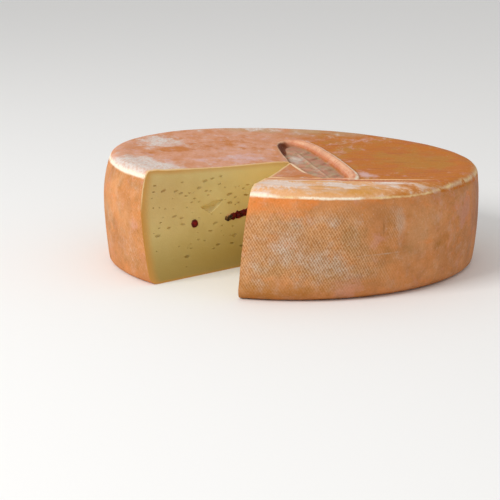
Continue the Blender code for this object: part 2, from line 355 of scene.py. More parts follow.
def wind_outwards() -> None:
    """Turns every face of the mesh that is edited outwards, and leaves edit mode."""
    bpy.ops.mesh.select_all(action="SELECT")
    bpy.ops.mesh.normals_make_consistent(inside=False)
    bpy.ops.object.mode_set(mode="OBJECT")


def coordinates(mesh: bpy.types.Mesh) -> np.ndarray:
    """A mesh's points as an array of x, y and z."""
    flat = np.empty(len(mesh.vertices) * 3)
    mesh.vertices.foreach_get("co", flat)
    return flat.reshape(-1, 3)


def store(mesh: bpy.types.Mesh, name: str, values: np.ndarray) -> None:
    """Keeps one number for each point of a mesh, for a material to read."""
    attribute = mesh.attributes.new(name, "FLOAT", "POINT")
    attribute.data.foreach_set("value", values.astype(np.float32))


# Materials

class Signal:
    """A number that varies over a surface. Arithmetic on it adds nodes to its graph."""

    def __init__(self, graph: "Graph", socket: bpy.types.NodeSocket) -> None:
        """Wraps an output socket of a graph."""
        self.graph = graph
        self.socket = socket

    def __add__(self, other: "Signal | float") -> "Signal":
        """The sum."""
        return self.graph.math("ADD", self, other)

    def __sub__(self, other: "Signal | float") -> "Signal":
        """The difference."""
        return self.graph.math("SUBTRACT", self, other)

    def __rsub__(self, other: float) -> "Signal":
        """A plain number less the signal."""
        return self.graph.math("SUBTRACT", other, self)

    def __mul__(self, other: "Signal | float") -> "Signal":
        """The product."""
        return self.graph.math("MULTIPLY", self, other)

    def wave(self) -> "Signal":
        """A wave between 0 and 1 with its crests at whole numbers."""
        return self.graph.math("COSINE", self * TAU) * 0.5 + 0.5

    def fade(self, start: "Signal | float", end: "Signal | float") -> "Signal":
        """Runs softly from 0 at start to 1 at end, which may lie either way round."""
        node = self.graph.node("ShaderNodeMapRange")
        node.interpolation_type = "SMOOTHSTEP"
        self.graph.feed(node.inputs["Value"], self)
        self.graph.feed(node.inputs["From Min"], start)
        self.graph.feed(node.inputs["From Max"], end)
        return Signal(self.graph, node.outputs["Result"])

    def near(self, centre: "Signal | float", width: "Signal | float") -> "Signal":
        """A band of 1 round a centre that falls softly to 0 over a width on each side."""
        return self.graph.math("ABSOLUTE", self - centre).fade(width, 0.0)


class Graph:
    """A material's nodes, added and linked so that a pattern reads as a formula."""

    def __init__(self, name: str, roughness: float, gloss: float = 0.5) -> None:
        """Starts a material with a Principled shader.

        Args:
            name: The material's name.
            roughness: The roughness of the whole surface.
            gloss: How strongly it mirrors, from 0 to 1.
        """
        self.material = bpy.data.materials.new(name)
        self.material.use_nodes = True
        self.tree = self.material.node_tree
        self.shader = self.tree.nodes["Principled BSDF"]
        self.shader.inputs["Roughness"].default_value = roughness
        self.shader.inputs["Specular IOR Level"].default_value = gloss
        place = self.node("ShaderNodeTexCoord")
        self.position = place.outputs["Object"]

    def node(self, kind: str) -> bpy.types.Node:
        """Adds a node of a kind."""
        return self.tree.nodes.new(kind)

    def feed(self, socket: bpy.types.NodeSocket, value: object) -> None:
        """Links a signal or a socket to an input, or sets the input to a plain value."""
        if isinstance(value, Signal):
            self.tree.links.new(value.socket, socket)
        elif isinstance(value, bpy.types.NodeSocket):
            self.tree.links.new(value, socket)
        else:
            socket.default_value = value

    def math(self, operation: str, first: "Signal | float", second: "Signal | float" = 0.0) -> Signal:
        """One step of arithmetic.

        Args:
            operation: The name of the Math node's operation.
            first: Its first input.
            second: Its second input, which some operations leave unused.

        Returns:
            The result.
        """
        node = self.node("ShaderNodeMath")
        node.operation = operation
        self.feed(node.inputs[0], first)
        self.feed(node.inputs[1], second)
        return Signal(self, node.outputs[0])

    def axes(self) -> tuple[Signal, Signal, Signal]:
        """The place on the object, as x, y and z in metres."""
        node = self.node("ShaderNodeSeparateXYZ")
        self.feed(node.inputs[0], self.position)
        return tuple(Signal(self, output) for output in node.outputs)

    def attribute(self, name: str) -> Signal:
        """A number that the mesh keeps for each point."""
        node = self.node("ShaderNodeAttribute")
        node.attribute_name = name
        return Signal(self, node.outputs["Fac"])

    def noise(
        self, size: float, finer: float, seed: float, stretch: tuple = (1, 1, 1), rough: float = 0.5
    ) -> Signal:
        """An uneven pattern between 0 and 1, mostly near its middle.

        Args:
            size: The size of its blotches, in metres.
            finer: How many finer layers it has.
            seed: Tells one pattern from another.
            stretch: How much longer its blotches are along each axis.
            rough: How strong its finer layers are.

        Returns:
            The pattern.
        """
        mapping = self.node("ShaderNodeMapping")
        self.feed(mapping.inputs["Vector"], self.position)
        mapping.inputs["Scale"].default_value = [1 / share for share in stretch]
        node = self.node("ShaderNodeTexNoise")
        node.noise_dimensions = "4D"
        self.feed(node.inputs["Vector"], mapping.outputs["Vector"])
        node.inputs["W"].default_value = seed
        node.inputs["Scale"].default_value = 1 / size
        node.inputs["Detail"].default_value = finer
        node.inputs["Roughness"].default_value = rough
        return Signal(self, node.outputs["Fac"])

    def mix(self, share: Signal | float, first: object, second: object) -> bpy.types.NodeSocket:
        """Mixes two colours.

        Args:
            share: The second colour's share.
            first: A colour, or the socket of one.
            second: A colour, or the socket of one.

        Returns:
            The socket of the mixed colour.
        """
        node = self.node("ShaderNodeMix")
        node.data_type = "RGBA"
        self.feed(node.inputs[0], share)
        self.feed(node.inputs[6], first)
        self.feed(node.inputs[7], second)
        return node.outputs[2]

    def patch(self, patch: "Patch") -> Signal:
        """A soft patch: its strength in its middle, falling to 0 at its radii."""
        reached = self.position
        for operation, vector in (("SUBTRACT", patch.centre), ("DIVIDE", patch.radii)):
            step = self.node("ShaderNodeVectorMath")
            step.operation = operation
            self.feed(step.inputs[0], reached)
            self.feed(step.inputs[1], vector)
            reached = step.outputs["Vector"]
        length = self.node("ShaderNodeVectorMath")
        length.operation = "LENGTH"
        self.feed(length.inputs[0], reached)
        return Signal(self, length.outputs["Value"]).fade(1.0, 0.0) * patch.strength

    def patches(self, base: Signal, patches: tuple["Patch", ...]) -> Signal:
        """Adds patches to a signal."""
        for patch in patches:
            base = base + self.patch(patch)
        return base

    def lay(self, colour: object, layers: tuple["Layer", ...]) -> object:
        """Lays layers over a colour, in order."""
        for layer in layers:
            colour = layer.over(self, colour)
        return colour

    def finish(self, colour: object, relief: Signal, depth: float) -> bpy.types.Material:
        """Ends the material with its colour and its fine relief.

        Args:
            colour: The colour's socket.
            relief: The fine relief, about 0 to 1.
            depth: How deep a relief of 1 is, in metres.

        Returns:
            The material.
        """
        self.feed(self.shader.inputs["Base Color"], colour)
        bump = self.node("ShaderNodeBump")
        bump.inputs["Distance"].default_value = depth
        self.feed(bump.inputs["Height"], relief)
        self.feed(self.shader.inputs["Normal"], bump.outputs["Normal"])
        return self.material


@dataclass(frozen=True)
class Patch:
    """A soft patch of a surface.

    Attributes:
        centre: Its middle.
        radii: How far it reaches along each axis.
        strength: What it adds in its middle.
    """

    centre: tuple[float, float, float]
    radii: tuple[float, float, float]
    strength: float


# The height of the top's patches, and how far up and down they reach
TOP_LEVEL, TOP_REACH = 80 * MM, 60 * MM


def top_patch(x: float, y: float, width: float, length: float, strength: float) -> Patch:
    """A patch on the top, its place and its half width along X and half length along Y in millimetres."""
    return Patch((x * MM, y * MM, TOP_LEVEL), (width * MM, length * MM, TOP_REACH), strength)


def side_patch(angle: float, height: float, reach: float, rise: float, strength: float) -> Patch:
    """A patch on the side, at an angle in degrees, its height and its half sizes in millimetres."""
    turn = math.radians(angle)
    centre = (FORM.radius * math.cos(turn), FORM.radius * math.sin(turn), height * MM)
    return Patch(centre, (reach * MM, reach * MM, rise * MM), strength)


@dataclass(frozen=True)
class Layer:
    """One colour of a surface, laid in uneven blotches over the colours before it.

    Attributes:
        colour: The colour.
        share: How far it covers them in the middle of a blotch.
        size: The size of its blotches, in metres.
        finer: How many finer layers its pattern has.
        seed: Tells its pattern from the others.
        start: The pattern's value at which it begins to show.
        full: The pattern's value from which it shows in full.
        stretch: How much longer its blotches are along each axis.
        rough: How strong the finer layers are.
        patches: Where there is more of it, or less where their strength is negative.
    """

    colour: tuple
    share: float
    size: float
    finer: float
    seed: float
    start: float
    full: float
    stretch: tuple = (1, 1, 1)
    rough: float = 0.6
    patches: tuple[Patch, ...] = ()

    def cover(self, g: Graph, more: Signal | float = 0.0) -> Signal:
        """How far it covers the colours below.

        Args:
            g: The graph.
            more: What is added to its pattern.

        Returns:
            The share of it.
        """
        pattern = g.noise(self.size, self.finer, self.seed, self.stretch, self.rough) + more
        return g.patches(pattern, self.patches).fade(self.start, self.full) * self.share

    def over(self, g: Graph, below: object) -> bpy.types.NodeSocket:
        """Lays it over the colour below."""
        return g.mix(self.cover(g), below, self.colour)


@dataclass(frozen=True)
class RindFinish:
    """The washed rind: orange-brown, marked by the cheese cloth, with whitish bloom.

    Attributes:
        rib_count: How many of the cloth's main threads cross a level line round the side.
        rib_rise: How many of them cross a metre of height.
        cross_count: How many of its finer cross threads cross the level line.
        cross_rise: How many of those cross a metre of height.
        relief: The depth of the fine relief.
        line_below: How far below the top's edge the rim's pale line runs, which is partly rubbed rind and
            partly a painted highlight.
        line_width: How far that line fades on each side.
        under_weave: The side's colours below the marks of the cloth.
        over_weave: The side's colours over them.
        whitened: The bloom in the side's weave.
        top_right: The colours of the top's +X side.
        top_left: The colours of its -X side.
        lilac_spots: The lilac spots of the top.
        rear: The grey of the top's far end.
        bloomed: The bloom on the top.
        strip_layers: The colours of the pale strip along the top's near edge.
        woven: Where the cloth's marks are stronger or weaker.
        seams: The pale and the dark lines on the side; the pale one is a painted highlight along a soft
            step.
        lightened: The pale patches of the pressed field's floor.
    """

    rib_count: int = 449
    rib_rise: float = 273.0
    cross_count: int = 408
    cross_rise: float = 340.0
    relief: float = 0.00035
    roughness: float = 0.6
    gloss: float = 0.06
    line_below: float = 0.0049
    line_width: float = 0.0014
    side_orange: tuple = linear(210, 138, 82)
    side_brown: tuple = linear(190, 126, 76)
    side_ochre: tuple = linear(172, 110, 44)
    side_pink: tuple = linear(208, 146, 124)
    side_olive: tuple = linear(158, 112, 60)
    rim_orange: tuple = linear(228, 132, 62)
    beads: tuple = linear(228, 190, 144)
    bloom_beads_and_glint: tuple = linear(212, 196, 180)
    furrow: tuple = linear(144, 98, 50)
    dusk_tint_and_shade: tuple = linear(150, 104, 92)
    # The rim line's colours: rubbed rind carrying a painted highlight. The first also paints the highlight
    # on the pressed border's outer edge, the second the painted highlight along the cuts' top edges.
    rim: tuple = linear(255, 240, 214)
    dull_rim_and_glint: tuple = linear(240, 206, 150)
    top_orange: tuple = linear(198, 116, 34)
    top_red: tuple = linear(192, 108, 52)
    top_ochre: tuple = linear(188, 130, 50)
    top_pink: tuple = linear(222, 162, 132)
    top_salmon: tuple = linear(212, 142, 98)
    lilac: tuple = linear(222, 184, 182)
    bloom: tuple = linear(226, 216, 208)
    back_grey: tuple = linear(196, 168, 132)
    strip: tuple = linear(236, 180, 130)
    strip_ochre: tuple = linear(218, 156, 78)
    strip_highlight: tuple = linear(255, 214, 162)
    strip_shadow: tuple = linear(196, 106, 66)
    strip_bloom: tuple = linear(236, 222, 212)
    pressed_floor: tuple = linear(176, 150, 118)
    pressed_pink: tuple = linear(188, 134, 110)
    pressed_pale: tuple = linear(208, 194, 182)
    pressed_foot_shade: tuple = linear(132, 76, 46)
    dark_spot_and_pit_shade: tuple = linear(112, 56, 32)
    red_streak_and_shade: tuple = linear(160, 82, 50)
    pressed_border: tuple = linear(230, 156, 120)
    flank_blotch_and_shade: tuple = linear(208, 130, 100)
    pressed_highlight: tuple = linear(255, 224, 186)
    under_weave: tuple[Layer, ...] = (
        Layer(side_orange, 1.0, size=0.018, finer=5, seed=3, start=0.36, full=0.64),
        Layer(side_olive, 0.55, size=0.014, finer=4, seed=14, start=0.54, full=0.72, rough=0.5, patches=(
            side_patch(287, 46, 18, 18, 0.22), side_patch(268, 30, 34, 22, 0.20),
            side_patch(281, 26, 30, 16, 0.16), side_patch(330, 40, 70, 60, -0.14),
        )),
        Layer(side_pink, 0.6, size=0.016, finer=4, seed=15, start=0.54, full=0.70, patches=(
            side_patch(294, 45, 10, 12, 0.16), side_patch(330, 56, 24, 20, 0.16),
            side_patch(285, 12, 30, 10, 0.14),
        )),
        # A darker purple-grey: a tint in blotches, and painted shade towards the side's right edge.
        Layer(
            dusk_tint_and_shade, 0.6, size=0.020, finer=5, seed=4, start=0.54, full=0.98, stretch=(1, 1, 2.2),
            patches=(side_patch(346, 44, 64, 70, 0.32),),
        ),
        # Ochre; its patch low at 258 degrees darkens the side's foot, partly the rind's tone and partly
        # painted shade.
        Layer(side_ochre, 0.8, size=0.012, finer=4, seed=5, start=0.52, full=0.78, patches=(
            side_patch(258, 7, 36, 15, 0.46), side_patch(276, 8, 44, 12, 0.20),
            side_patch(321, 34, 22, 16, 0.10), side_patch(266, 30, 30, 16, 0.10),
            side_patch(280, 22, 30, 12, 0.08),
        )),
        Layer(
            rim_orange, 0.85, size=0.012, finer=4, seed=16, start=0.54, full=0.76, stretch=(2, 2, 1),
            patches=(
                side_patch(262, 76, 44, 16, 0.34), side_patch(280, 78, 60, 10, 0.18),
                side_patch(256, 60, 16, 30, 0.14),
            ),
        ),
    )
    whitened: Layer = Layer(
        bloom_beads_and_glint, 0.70, size=0.011, finer=5, seed=17, start=0.46, full=0.84, rough=0.65,
        patches=(
            side_patch(270, 40, 24, 17, 0.24), side_patch(280, 29, 26, 14, 0.26),
            side_patch(263, 27, 18, 12, 0.12), side_patch(272, 17, 12, 12, 0.14),
            side_patch(302, 52, 8, 16, 0.20), side_patch(277, 59, 22, 9, 0.12),
        ),
    )
    over_weave: tuple[Layer, ...] = (
        Layer(side_ochre, 0.40, size=0.0028, finer=3, seed=37, start=0.56, full=0.70),
        Layer(strip, 0.35, size=0.018, finer=4, seed=38, start=0.50, full=0.85, patches=(
            side_patch(205, 62, 50, 44, 0.22), side_patch(311, 44, 46, 50, 0.20),
        )),
    )
    top_right: tuple[Layer, ...] = (
        Layer(
            top_red, 1.0, size=0.010, finer=6, seed=7, start=0.44, full=0.64,
            stretch=(3, 1, 1), rough=0.62,
        ),
        Layer(
            top_ochre, 0.7, size=0.014, finer=6, seed=28, start=0.50, full=0.70, stretch=(1, 1.6, 1),
            patches=(top_patch(106, 16, 44, 60, 0.24), top_patch(60, 30, 40, 50, 0.08)),
        ),
    )
    top_left: tuple[Layer, ...] = (
        Layer(
            top_pink, 1.0, size=0.014, finer=6, seed=18, start=0.36, full=0.62,
            stretch=(1, 1.6, 1), rough=0.65,
        ),
        Layer(top_orange, 0.75, size=0.014, finer=6, seed=29, start=0.54, full=0.70, patches=(
            top_patch(-92, 14, 20, 26, 0.18), top_patch(-120, -8, 16, 14, 0.14),
            top_patch(-56, 60, 50, 40, 0.10),
        )),
    )
    lilac_spots: Layer = Layer(
        lilac, 0.8, size=0.009, finer=7, seed=8, start=0.50, full=0.78, stretch=(1, 1.6, 1), rough=0.65,
        patches=(
            top_patch(-40, -2, 34, 34, 0.16), top_patch(-66, -24, 24, 18, 0.12),
            top_patch(-96, -44, 20, 30, 0.08), top_patch(62, 104, 16, 14, 0.14),
            top_patch(56, -58, 14, 18, 0.40), top_patch(104, 6, 72, 110, -0.20),
        ),
    )
    rear: Layer = Layer(back_grey, 0.6, size=0.020, finer=5, seed=33, start=0.35, full=0.60)
    bloomed: Layer = Layer(
        bloom, 1.0, size=0.010, finer=8, seed=6, start=0.52, full=0.78, stretch=(1, 1.6, 1), rough=0.7,
        patches=(
            top_patch(-110, 46, 32, 42, 0.26), top_patch(-120, -56, 44, 50, 0.36),
            top_patch(-96, -74, 36, 34, 0.26), top_patch(-34, 134, 40, 16, 0.20),
            top_patch(-84, 4, 24, 34, -0.16), top_patch(92, 10, 80, 120, -0.20),
            top_patch(-122, -4, 26, 14, -0.16),
        ),
    )
    strip_layers: tuple[Layer, ...] = (
        Layer(
            strip_ochre, 1.0, size=0.012, finer=5, seed=34, start=0.48, full=0.66, stretch=(3, 1, 1),
        ),
        Layer(
            strip_bloom, 0.9, size=0.009, finer=6, seed=9, start=0.48, full=0.62,
            stretch=(2.6, 1, 1), rough=0.62,
        ),
        Layer(
            strip_bloom, 0.8, size=0.0030, finer=4, seed=45, start=0.56, full=0.80,
            stretch=(1, 2, 1), rough=0.7, patches=(
                top_patch(-8, -124, 34, 26, 0.40), top_patch(37, -118, 28, 20, 0.36),
                top_patch(74, -102, 28, 16, 0.36),
            ),
        ),
    )
    woven: tuple[Patch, ...] = (
        side_patch(260, 40, 46, 38, 0.75), side_patch(277, 44, 56, 40, 0.85),
        side_patch(283, 24, 44, 24, 0.45), side_patch(300, 52, 12, 22, 0.25),
        side_patch(322, 40, 62, 60, -0.50), side_patch(345, 40, 50, 60, -0.30),
    )
    seams: tuple[Patch, ...] = (
        Patch((0.066, -0.1347, 0.0335), (0.048, 0.048, 0.0012), 0.6), side_patch(296.3, 55, 1.5, 17, -0.9),
    )
    lightened: tuple[Patch, ...] = (top_patch(5, 26, 12, 32, 0.6), top_patch(22, -22, 12, 28, 0.3))

    def side(self, g: Graph, behind: Signal, threads: Signal, woven: Signal) -> bpy.types.NodeSocket:
        """The colour of the side.

        Args:
            g: The graph.
            behind: How far round the back a point is, from 0 to 1.
            threads: The pattern of the cloth's threads.
            woven: How strongly the threads show.

        Returns:
            The colour's socket.
        """
        colour = g.lay(self.side_brown, self.under_weave)
        white = self.whitened.cover(g, behind * 0.14)
        colour = g.mix(white * 0.45, colour, self.bloom_beads_and_glint)
        bead = g.mix(white, g.mix(0.45, colour, self.beads), self.bloom_beads_and_glint)
        weave = g.mix(threads.fade(-0.15, 1.0), g.mix(0.50, colour, self.furrow), bead)
        colour = g.lay(g.mix(woven, colour, weave), self.over_weave)
        # The first of the seams patches paints a pale line: a painted highlight along a soft step of the
        # side.
        seam_glint_and_line = g.patches(g.noise(0.004, 3.0, 27.0) * 1.2 - 0.6, self.seams)
        colour = g.mix(seam_glint_and_line.fade(0.20, 0.90) * 0.35, colour, self.bloom_beads_and_glint)
        return g.mix(seam_glint_and_line.fade(-0.20, -0.80) * 0.40, colour, self.furrow)

    def top(self, g: Graph, x: Signal, y: Signal) -> bpy.types.NodeSocket:
        """The colour of the top, outside the pressed field.

        Args:
            g: The graph.
            x: The place across.
            y: The place ahead.

        Returns:
            The colour's socket.
        """
        brushed = g.noise(0.0045, 4.0, 41.0, (6, 1, 1), 0.6)
        right = g.lay(self.top_orange, self.top_right)
        right = g.mix(brushed.fade(0.58, 0.76) * 0.25, right, self.top_pink)
        right = g.mix(brushed.fade(0.44, 0.30) * 0.35, right, self.red_streak_and_shade)
        left = g.lay(self.top_salmon, self.top_left)
        sides = (x + (g.noise(0.030, 4.0, 30.0) - 0.5) * 0.08).fade(-0.030, 0.030)
        colour = self.lilac_spots.over(g, g.mix(sides, left, right))
        colour = g.mix(y.fade(0.100, 0.134) * self.rear.cover(g), colour, self.back_grey)
        speck = g.noise(0.0024, 3.0, 42.0, (1, 2.5, 1), 0.7).fade(0.38, 0.56)
        colour = g.mix(self.bloomed.cover(g) * (speck * 0.45 + 0.50), colour, self.bloom)
        return self.front_strip(g, x, y, brushed, colour)

    def front_strip(
        self, g: Graph, x: Signal, y: Signal, brushed: Signal, colour: bpy.types.NodeSocket
    ) -> bpy.types.NodeSocket:
        """The colour of the pale strip along the top's near edge, and of the fold behind it, with a painted
        highlight on the fold and a painted shadow at its foot.

        Args:
            g: The graph.
            x: The place across.
            y: The place ahead.
            brushed: The pattern of the fine marks across the top.
            colour: The colour of the top round it.

        Returns:
            The colour's socket.
        """
        strip = g.lay(self.strip, self.strip_layers)
        ochre_band = g.attribute("skin").near(0.0004, 0.0042) * x.near(0.036, 0.050)
        strip = g.mix(ochre_band * 0.7, strip, self.strip_ochre)
        streaks = g.noise(0.009, 6.0, 9.0, (2.6, 1, 1), 0.62)
        strip = g.mix(x.fade(0.055, 0.085) * streaks.fade(0.56, 0.44) * 0.8, strip, self.top_orange)
        off = y - x * 0.087 + (g.noise(0.020, 3.0, 43.0) - 0.5) * 0.004
        colour = g.mix(off.fade(-0.0950, -0.0985) * x.fade(0.125, 0.080) * 0.92, colour, strip)
        lined = x.fade(0.114, 0.080) * x.fade(-0.030, -0.010)
        # Painted highlight along the top of the fold behind the strip.
        crest_highlight = off.fade(-0.0894, -0.0876) * (off + (streaks - 0.5) * 0.003).fade(-0.0826, -0.0848)
        colour = g.mix(crest_highlight * lined * (brushed.fade(0.38, 0.54) * 0.3 + 0.6), colour, self.strip_highlight)
        # Painted shadow: a dark red line at the foot of the strip's fold.
        foot = off.fade(-0.0984, -0.0972) * off.fade(-0.0928, -0.0940)
        return g.mix(foot * lined * 0.8, colour, self.strip_shadow)

    def pressed(self, g: Graph, colour: bpy.types.NodeSocket) -> bpy.types.NodeSocket:
        """The colour of the pressed field and its border, with painted shade at its wall feet, in its
        hollows and at its far left end, and painted highlights along its edges and ridges.

        Here edge is the way out from the field's edge in metres, and away runs from 0 on the side
        of the field that is near the slice to 1 on the other.

        Args:
            g: The graph.
            colour: The colour of the top round it.

        Returns:
            The colour's socket.
        """
        edge, ridge = g.attribute("edge"), g.attribute("ridge")
        blotches = g.noise(0.007, 5.0, 10.0, rough=0.6)
        away = g.attribute("border")
        border = edge.fade(0.0064, 0.0044) * edge.fade(-0.0036, -0.0004) * away.fade(0.15, 0.55)
        fleshy = g.mix(blotches.fade(0.42, 0.60), self.pressed_border, self.flank_blotch_and_shade)
        colour = g.mix(border * 0.9, colour, fleshy)
        # Painted shade: the border's inner flank darker.
        colour = g.mix(border * edge.fade(0.0004, -0.0024) * 0.6, colour, self.flank_blotch_and_shade)
        # Painted highlight: a pale line along the border's outer edge on the far side.
        crest_highlight = edge.near(0.0046, 0.0018) * blotches.fade(0.34, 0.46) * away.fade(0.60, 0.90)
        colour = g.mix(crest_highlight, colour, self.rim)
        floor = g.mix(blotches.fade(0.44, 0.60), self.pressed_pink, self.pressed_floor)
        pale = g.patches(blotches * 0.8, self.lightened).fade(0.50, 0.95)
        floor = g.mix(pale * 0.7, floor, self.pressed_pale)
        colour = g.mix(edge.fade(-0.0026, -0.0044), colour, floor)
        # Painted shade at the foot of the field's wall on the side near the slice.
        foot = edge.near(-0.0034, 0.0030) * (1.15 - blotches) * away.fade(0.75, 0.35)
        colour = g.mix(foot * 0.8, colour, self.pressed_foot_shade)
        # Painted highlight: a pale lip along the near wall's top edge.
        wall = g.patch(top_patch(3, -46, 16, 50, 1.6)) * away.fade(0.55, 0.15)
        colour = g.mix((wall * edge.near(0.0018, 0.0020)).fade(0.20, 0.80) * 0.9, colour, self.pressed_highlight)
        # Painted shade: a narrow dark red stripe inside the near wall, the shade of a wall that the relief
        # does not model.
        stained = wall * edge.near(-0.0056, 0.0034) * blotches.fade(0.36, 0.52)
        colour = g.mix(stained.fade(0.15, 0.70), colour, self.red_streak_and_shade)
        # Painted shade in the relief's hollows and painted highlights on its ridges.
        inside = edge.fade(-0.0020, -0.0040)
        colour = g.mix(ridge.fade(-0.10, -0.70) * (0.45 - inside * 0.28), colour, self.pressed_foot_shade)
        colour = g.mix(ridge.fade(0.15, 0.80) * (0.45 - inside * 0.28), colour, self.pressed_highlight)
        # Painted shade in the field's far left end, with scattered dark spots over the whole top.
        pit_shade = edge.near(-0.0045, 0.0070) * g.patch(top_patch(-9, 64, 18, 34, 1.9)) * away.fade(0.80, 0.40)
        return g.mix((pit_shade + blotches * 0.9 - 0.45).fade(0.15, 0.70), colour, self.dark_spot_and_pit_shade)

    def build(self) -> bpy.types.Material:
        """Makes the material.

        The mesh keeps skin, the way down from the top's edge, which is negative on the top; edge, the
        way out from the pressed field's edge; border, the share of the border's full height there;
        ridge, how far a point stands above those round it; and cut, the way from the nearer cut.

        Returns:
            The material.
        """
        g = Graph("rind", self.roughness, self.gloss)
        x, y, z = g.axes()
        skin = g.attribute("skin")
        angle = g.math("ARCTAN2", y, x)
        wander = g.noise(0.030, 2.0, 1.0) * 1.8 + g.noise(0.006, 2.0, 35.0) * 0.7
        ribs = (angle * (self.rib_count / TAU) + z * self.rib_rise + wander).wave()
        rows = (angle * (self.cross_count / TAU) - z * self.cross_rise + wander).wave()
        speckle = g.noise(0.0017, 3.0, 19.0, rough=0.7)
        threads = ribs * 0.55 + rows * 0.30 + (speckle - 0.5) * 1.8
        behind = y.fade(-0.030, 0.060)
        woven = g.patches(g.noise(0.030, 4.0, 2.0) * 1.2 - 0.42 + behind * 0.45, self.woven)
        woven = woven.fade(0.0, 0.70) * skin.fade(0.005, 0.014) * skin.fade(0.081, 0.070)

        top, side = self.pressed(g, self.top(g, x, y)), self.side(g, behind, threads, woven)
        colour = g.mix(skin.fade(0.0050, 0.0064), top, side)
        # The rim's pale line: partly rubbed rind, partly a painted highlight where the top's edge turns into
        # the side.
        wear_and_glint = g.noise(0.011, 5.0, 11.0, rough=0.6)
        off_line = (wear_and_glint - 0.5) * 0.0028 + (g.noise(0.0024, 2.0, 36.0) - 0.5) * 0.0010
        corner, dull, far = x.fade(-0.008, -0.022), x.fade(0.051, 0.060), x.fade(0.092, 0.124)
        middle = off_line - corner * 0.0004 - far * 0.0030 + self.line_below
        line = skin.near(middle, corner * 0.0012 - dull * 0.0002 + far * 0.0014 + self.line_width)
        line = line * wear_and_glint.fade(0.34, 0.46) * (1.0 - x.near(0.0545, 0.0050) * 0.9)
        chalky = g.noise(0.0080, 5.0, 44.0, rough=0.65).fade(0.60, 0.42)
        dull = g.math("MAXIMUM", dull, x.near(-0.002, 0.014))
        line = line * (1.0 - dull * chalky * 0.45)
        cream = g.mix(dull, self.rim, self.dull_rim_and_glint)
        colour = g.mix(line, colour, g.mix(far * chalky * 0.4, cream, self.bloom))
        # Painted highlight: a pale band on the top along each cut's edge.
        cut_edge_highlight = g.attribute("cut").fade(0.0022, 0.0008) * skin.fade(0.004, 0.001)
        colour = g.mix(cut_edge_highlight * wear_and_glint.fade(0.30, 0.46) * 0.75, colour, self.dull_rim_and_glint)
        grain = g.noise(0.0016, 5.0, 12.0, rough=0.65)
        colour = g.mix(grain.fade(0.60, 0.36) * 0.30, colour, g.mix(0.5, colour, self.furrow))
        colour = g.mix(grain.fade(0.55, 0.75) * 0.30, colour, self.bloom_beads_and_glint)

        creases = g.noise(0.007, 5.0, 13.0)
        relief = threads * woven * 0.7 + grain * 1.0 + creases * 1.6
        return g.finish(colour, relief, self.relief)


@dataclass(frozen=True)
class PasteFinish:
    """The cut paste: smooth and straw-coloured, deeper towards the rind, with the rind's own section.

    Attributes:
        palest: Where the paste is palest.
        tannest: Where it is most tanned.
        rind: How thick the rind's light section is.
        browned: How far in from the rind the paste is darker.
        glow: How much of the light it scatters inside.
        glow_reach: How far that light travels.
    """

    roughness: float = 0.45
    relief: float = 0.00022
    heart: tuple = linear(226, 204, 140)
    deep: tuple = linear(212, 184, 114)
    low: tuple = linear(166, 139, 64)
    near_rind: tuple = linear(210, 150, 68)
    rind_section: tuple = linear(250, 214, 160)
    pale: tuple = linear(240, 212, 138)
    tanned: tuple = linear(200, 160, 100)
    stain: tuple = linear(224, 156, 118)
    palest: Patch = Patch((-0.026, -0.022, 0.074), (0.050, 0.050, 0.030), 0.8)
    tannest: Patch = Patch((-0.098, -0.088, 0.064), (0.056, 0.056, 0.040), 0.5)
    rind: float = 0.0013
    browned: float = 0.010
    glow: float = 0.10
    glow_reach: float = 0.004

    def build(self, stains: tuple[Patch, ...]) -> bpy.types.Material:
        """Makes the material. The mesh keeps rind_depth, the distance in from the rind.

        Args:
            stains: Where the peppercorns have stained the paste.

        Returns:
            The material.
        """
        g = Graph("paste", self.roughness)
        x, _, z = g.axes()
        depth = g.attribute("rind_depth") + (g.noise(0.005, 3.0, 24.0) - 0.5) * 0.0016
        cloudy = g.noise(0.016, 3.0, 21.0).fade(0.35, 0.70)
        colour = g.mix(cloudy * 0.45, self.heart, self.deep)
        colour = g.mix(g.patch(self.palest), colour, self.pale)
        colour = g.mix(g.patch(self.tannest), colour, self.tanned)
        # Painted shade: the paste grows darker towards the bottom of the cuts.
        colour = g.mix(z.fade(0.052, 0.002) * 0.9, colour, self.low)
        outer = x.fade(-0.060, -0.100) * 0.35 + 0.50
        colour = g.mix(depth.fade(self.browned, self.rind) * outer, colour, self.near_rind)
        stained = g.patches(g.noise(0.0016, 3.0, 39.0) * 0.5 - 0.25, stains)
        colour = g.mix(stained.fade(0.10, 0.80) * 0.8, colour, self.stain)
        section = g.mix(z.fade(0.052, 0.070), self.near_rind, self.rind_section)
        colour = g.mix(depth.fade(self.rind + 0.0003, self.rind - 0.0004), colour, section)
        grain = g.noise(0.0012, 3.0, 22.0)
        drag = g.noise(0.004, 2.0, 23.0, (6, 6, 0.5))
        g.shader.inputs["Subsurface Weight"].default_value = self.glow
        g.shader.inputs["Subsurface Radius"].default_value = (1.0, 0.6, 0.3)
        g.shader.inputs["Subsurface Scale"].default_value = self.glow_reach
        return g.finish(colour, grain * 0.6 + drag * 0.7, self.relief)


class CornKind(Enum):
    """The kinds of peppercorn, with their darker and lighter colours."""

    RED = (linear(62, 3, 3), linear(118, 9, 6))
    DARK = (linear(40, 22, 14), linear(112, 80, 44))


@dataclass(frozen=True)
class CornFinish:
    """The skin of a dried peppercorn: wrinkled and a little glossy."""

    kind: CornKind
    roughness: float = 0.42
    gloss: float = 0.15
    relief: float = 0.0003

    def build(self) -> bpy.types.Material:
        """Makes the material."""
        g = Graph(f"{self.kind.name.lower()}_peppercorn", self.roughness, self.gloss)
        dark, light = self.kind.value
        colour = g.mix(g.noise(0.0022, 3.0, 31.0).fade(0.35, 0.68), dark, light)
        return g.finish(colour, g.noise(0.0009, 3.0, 32.0), self.relief)


# The wheel

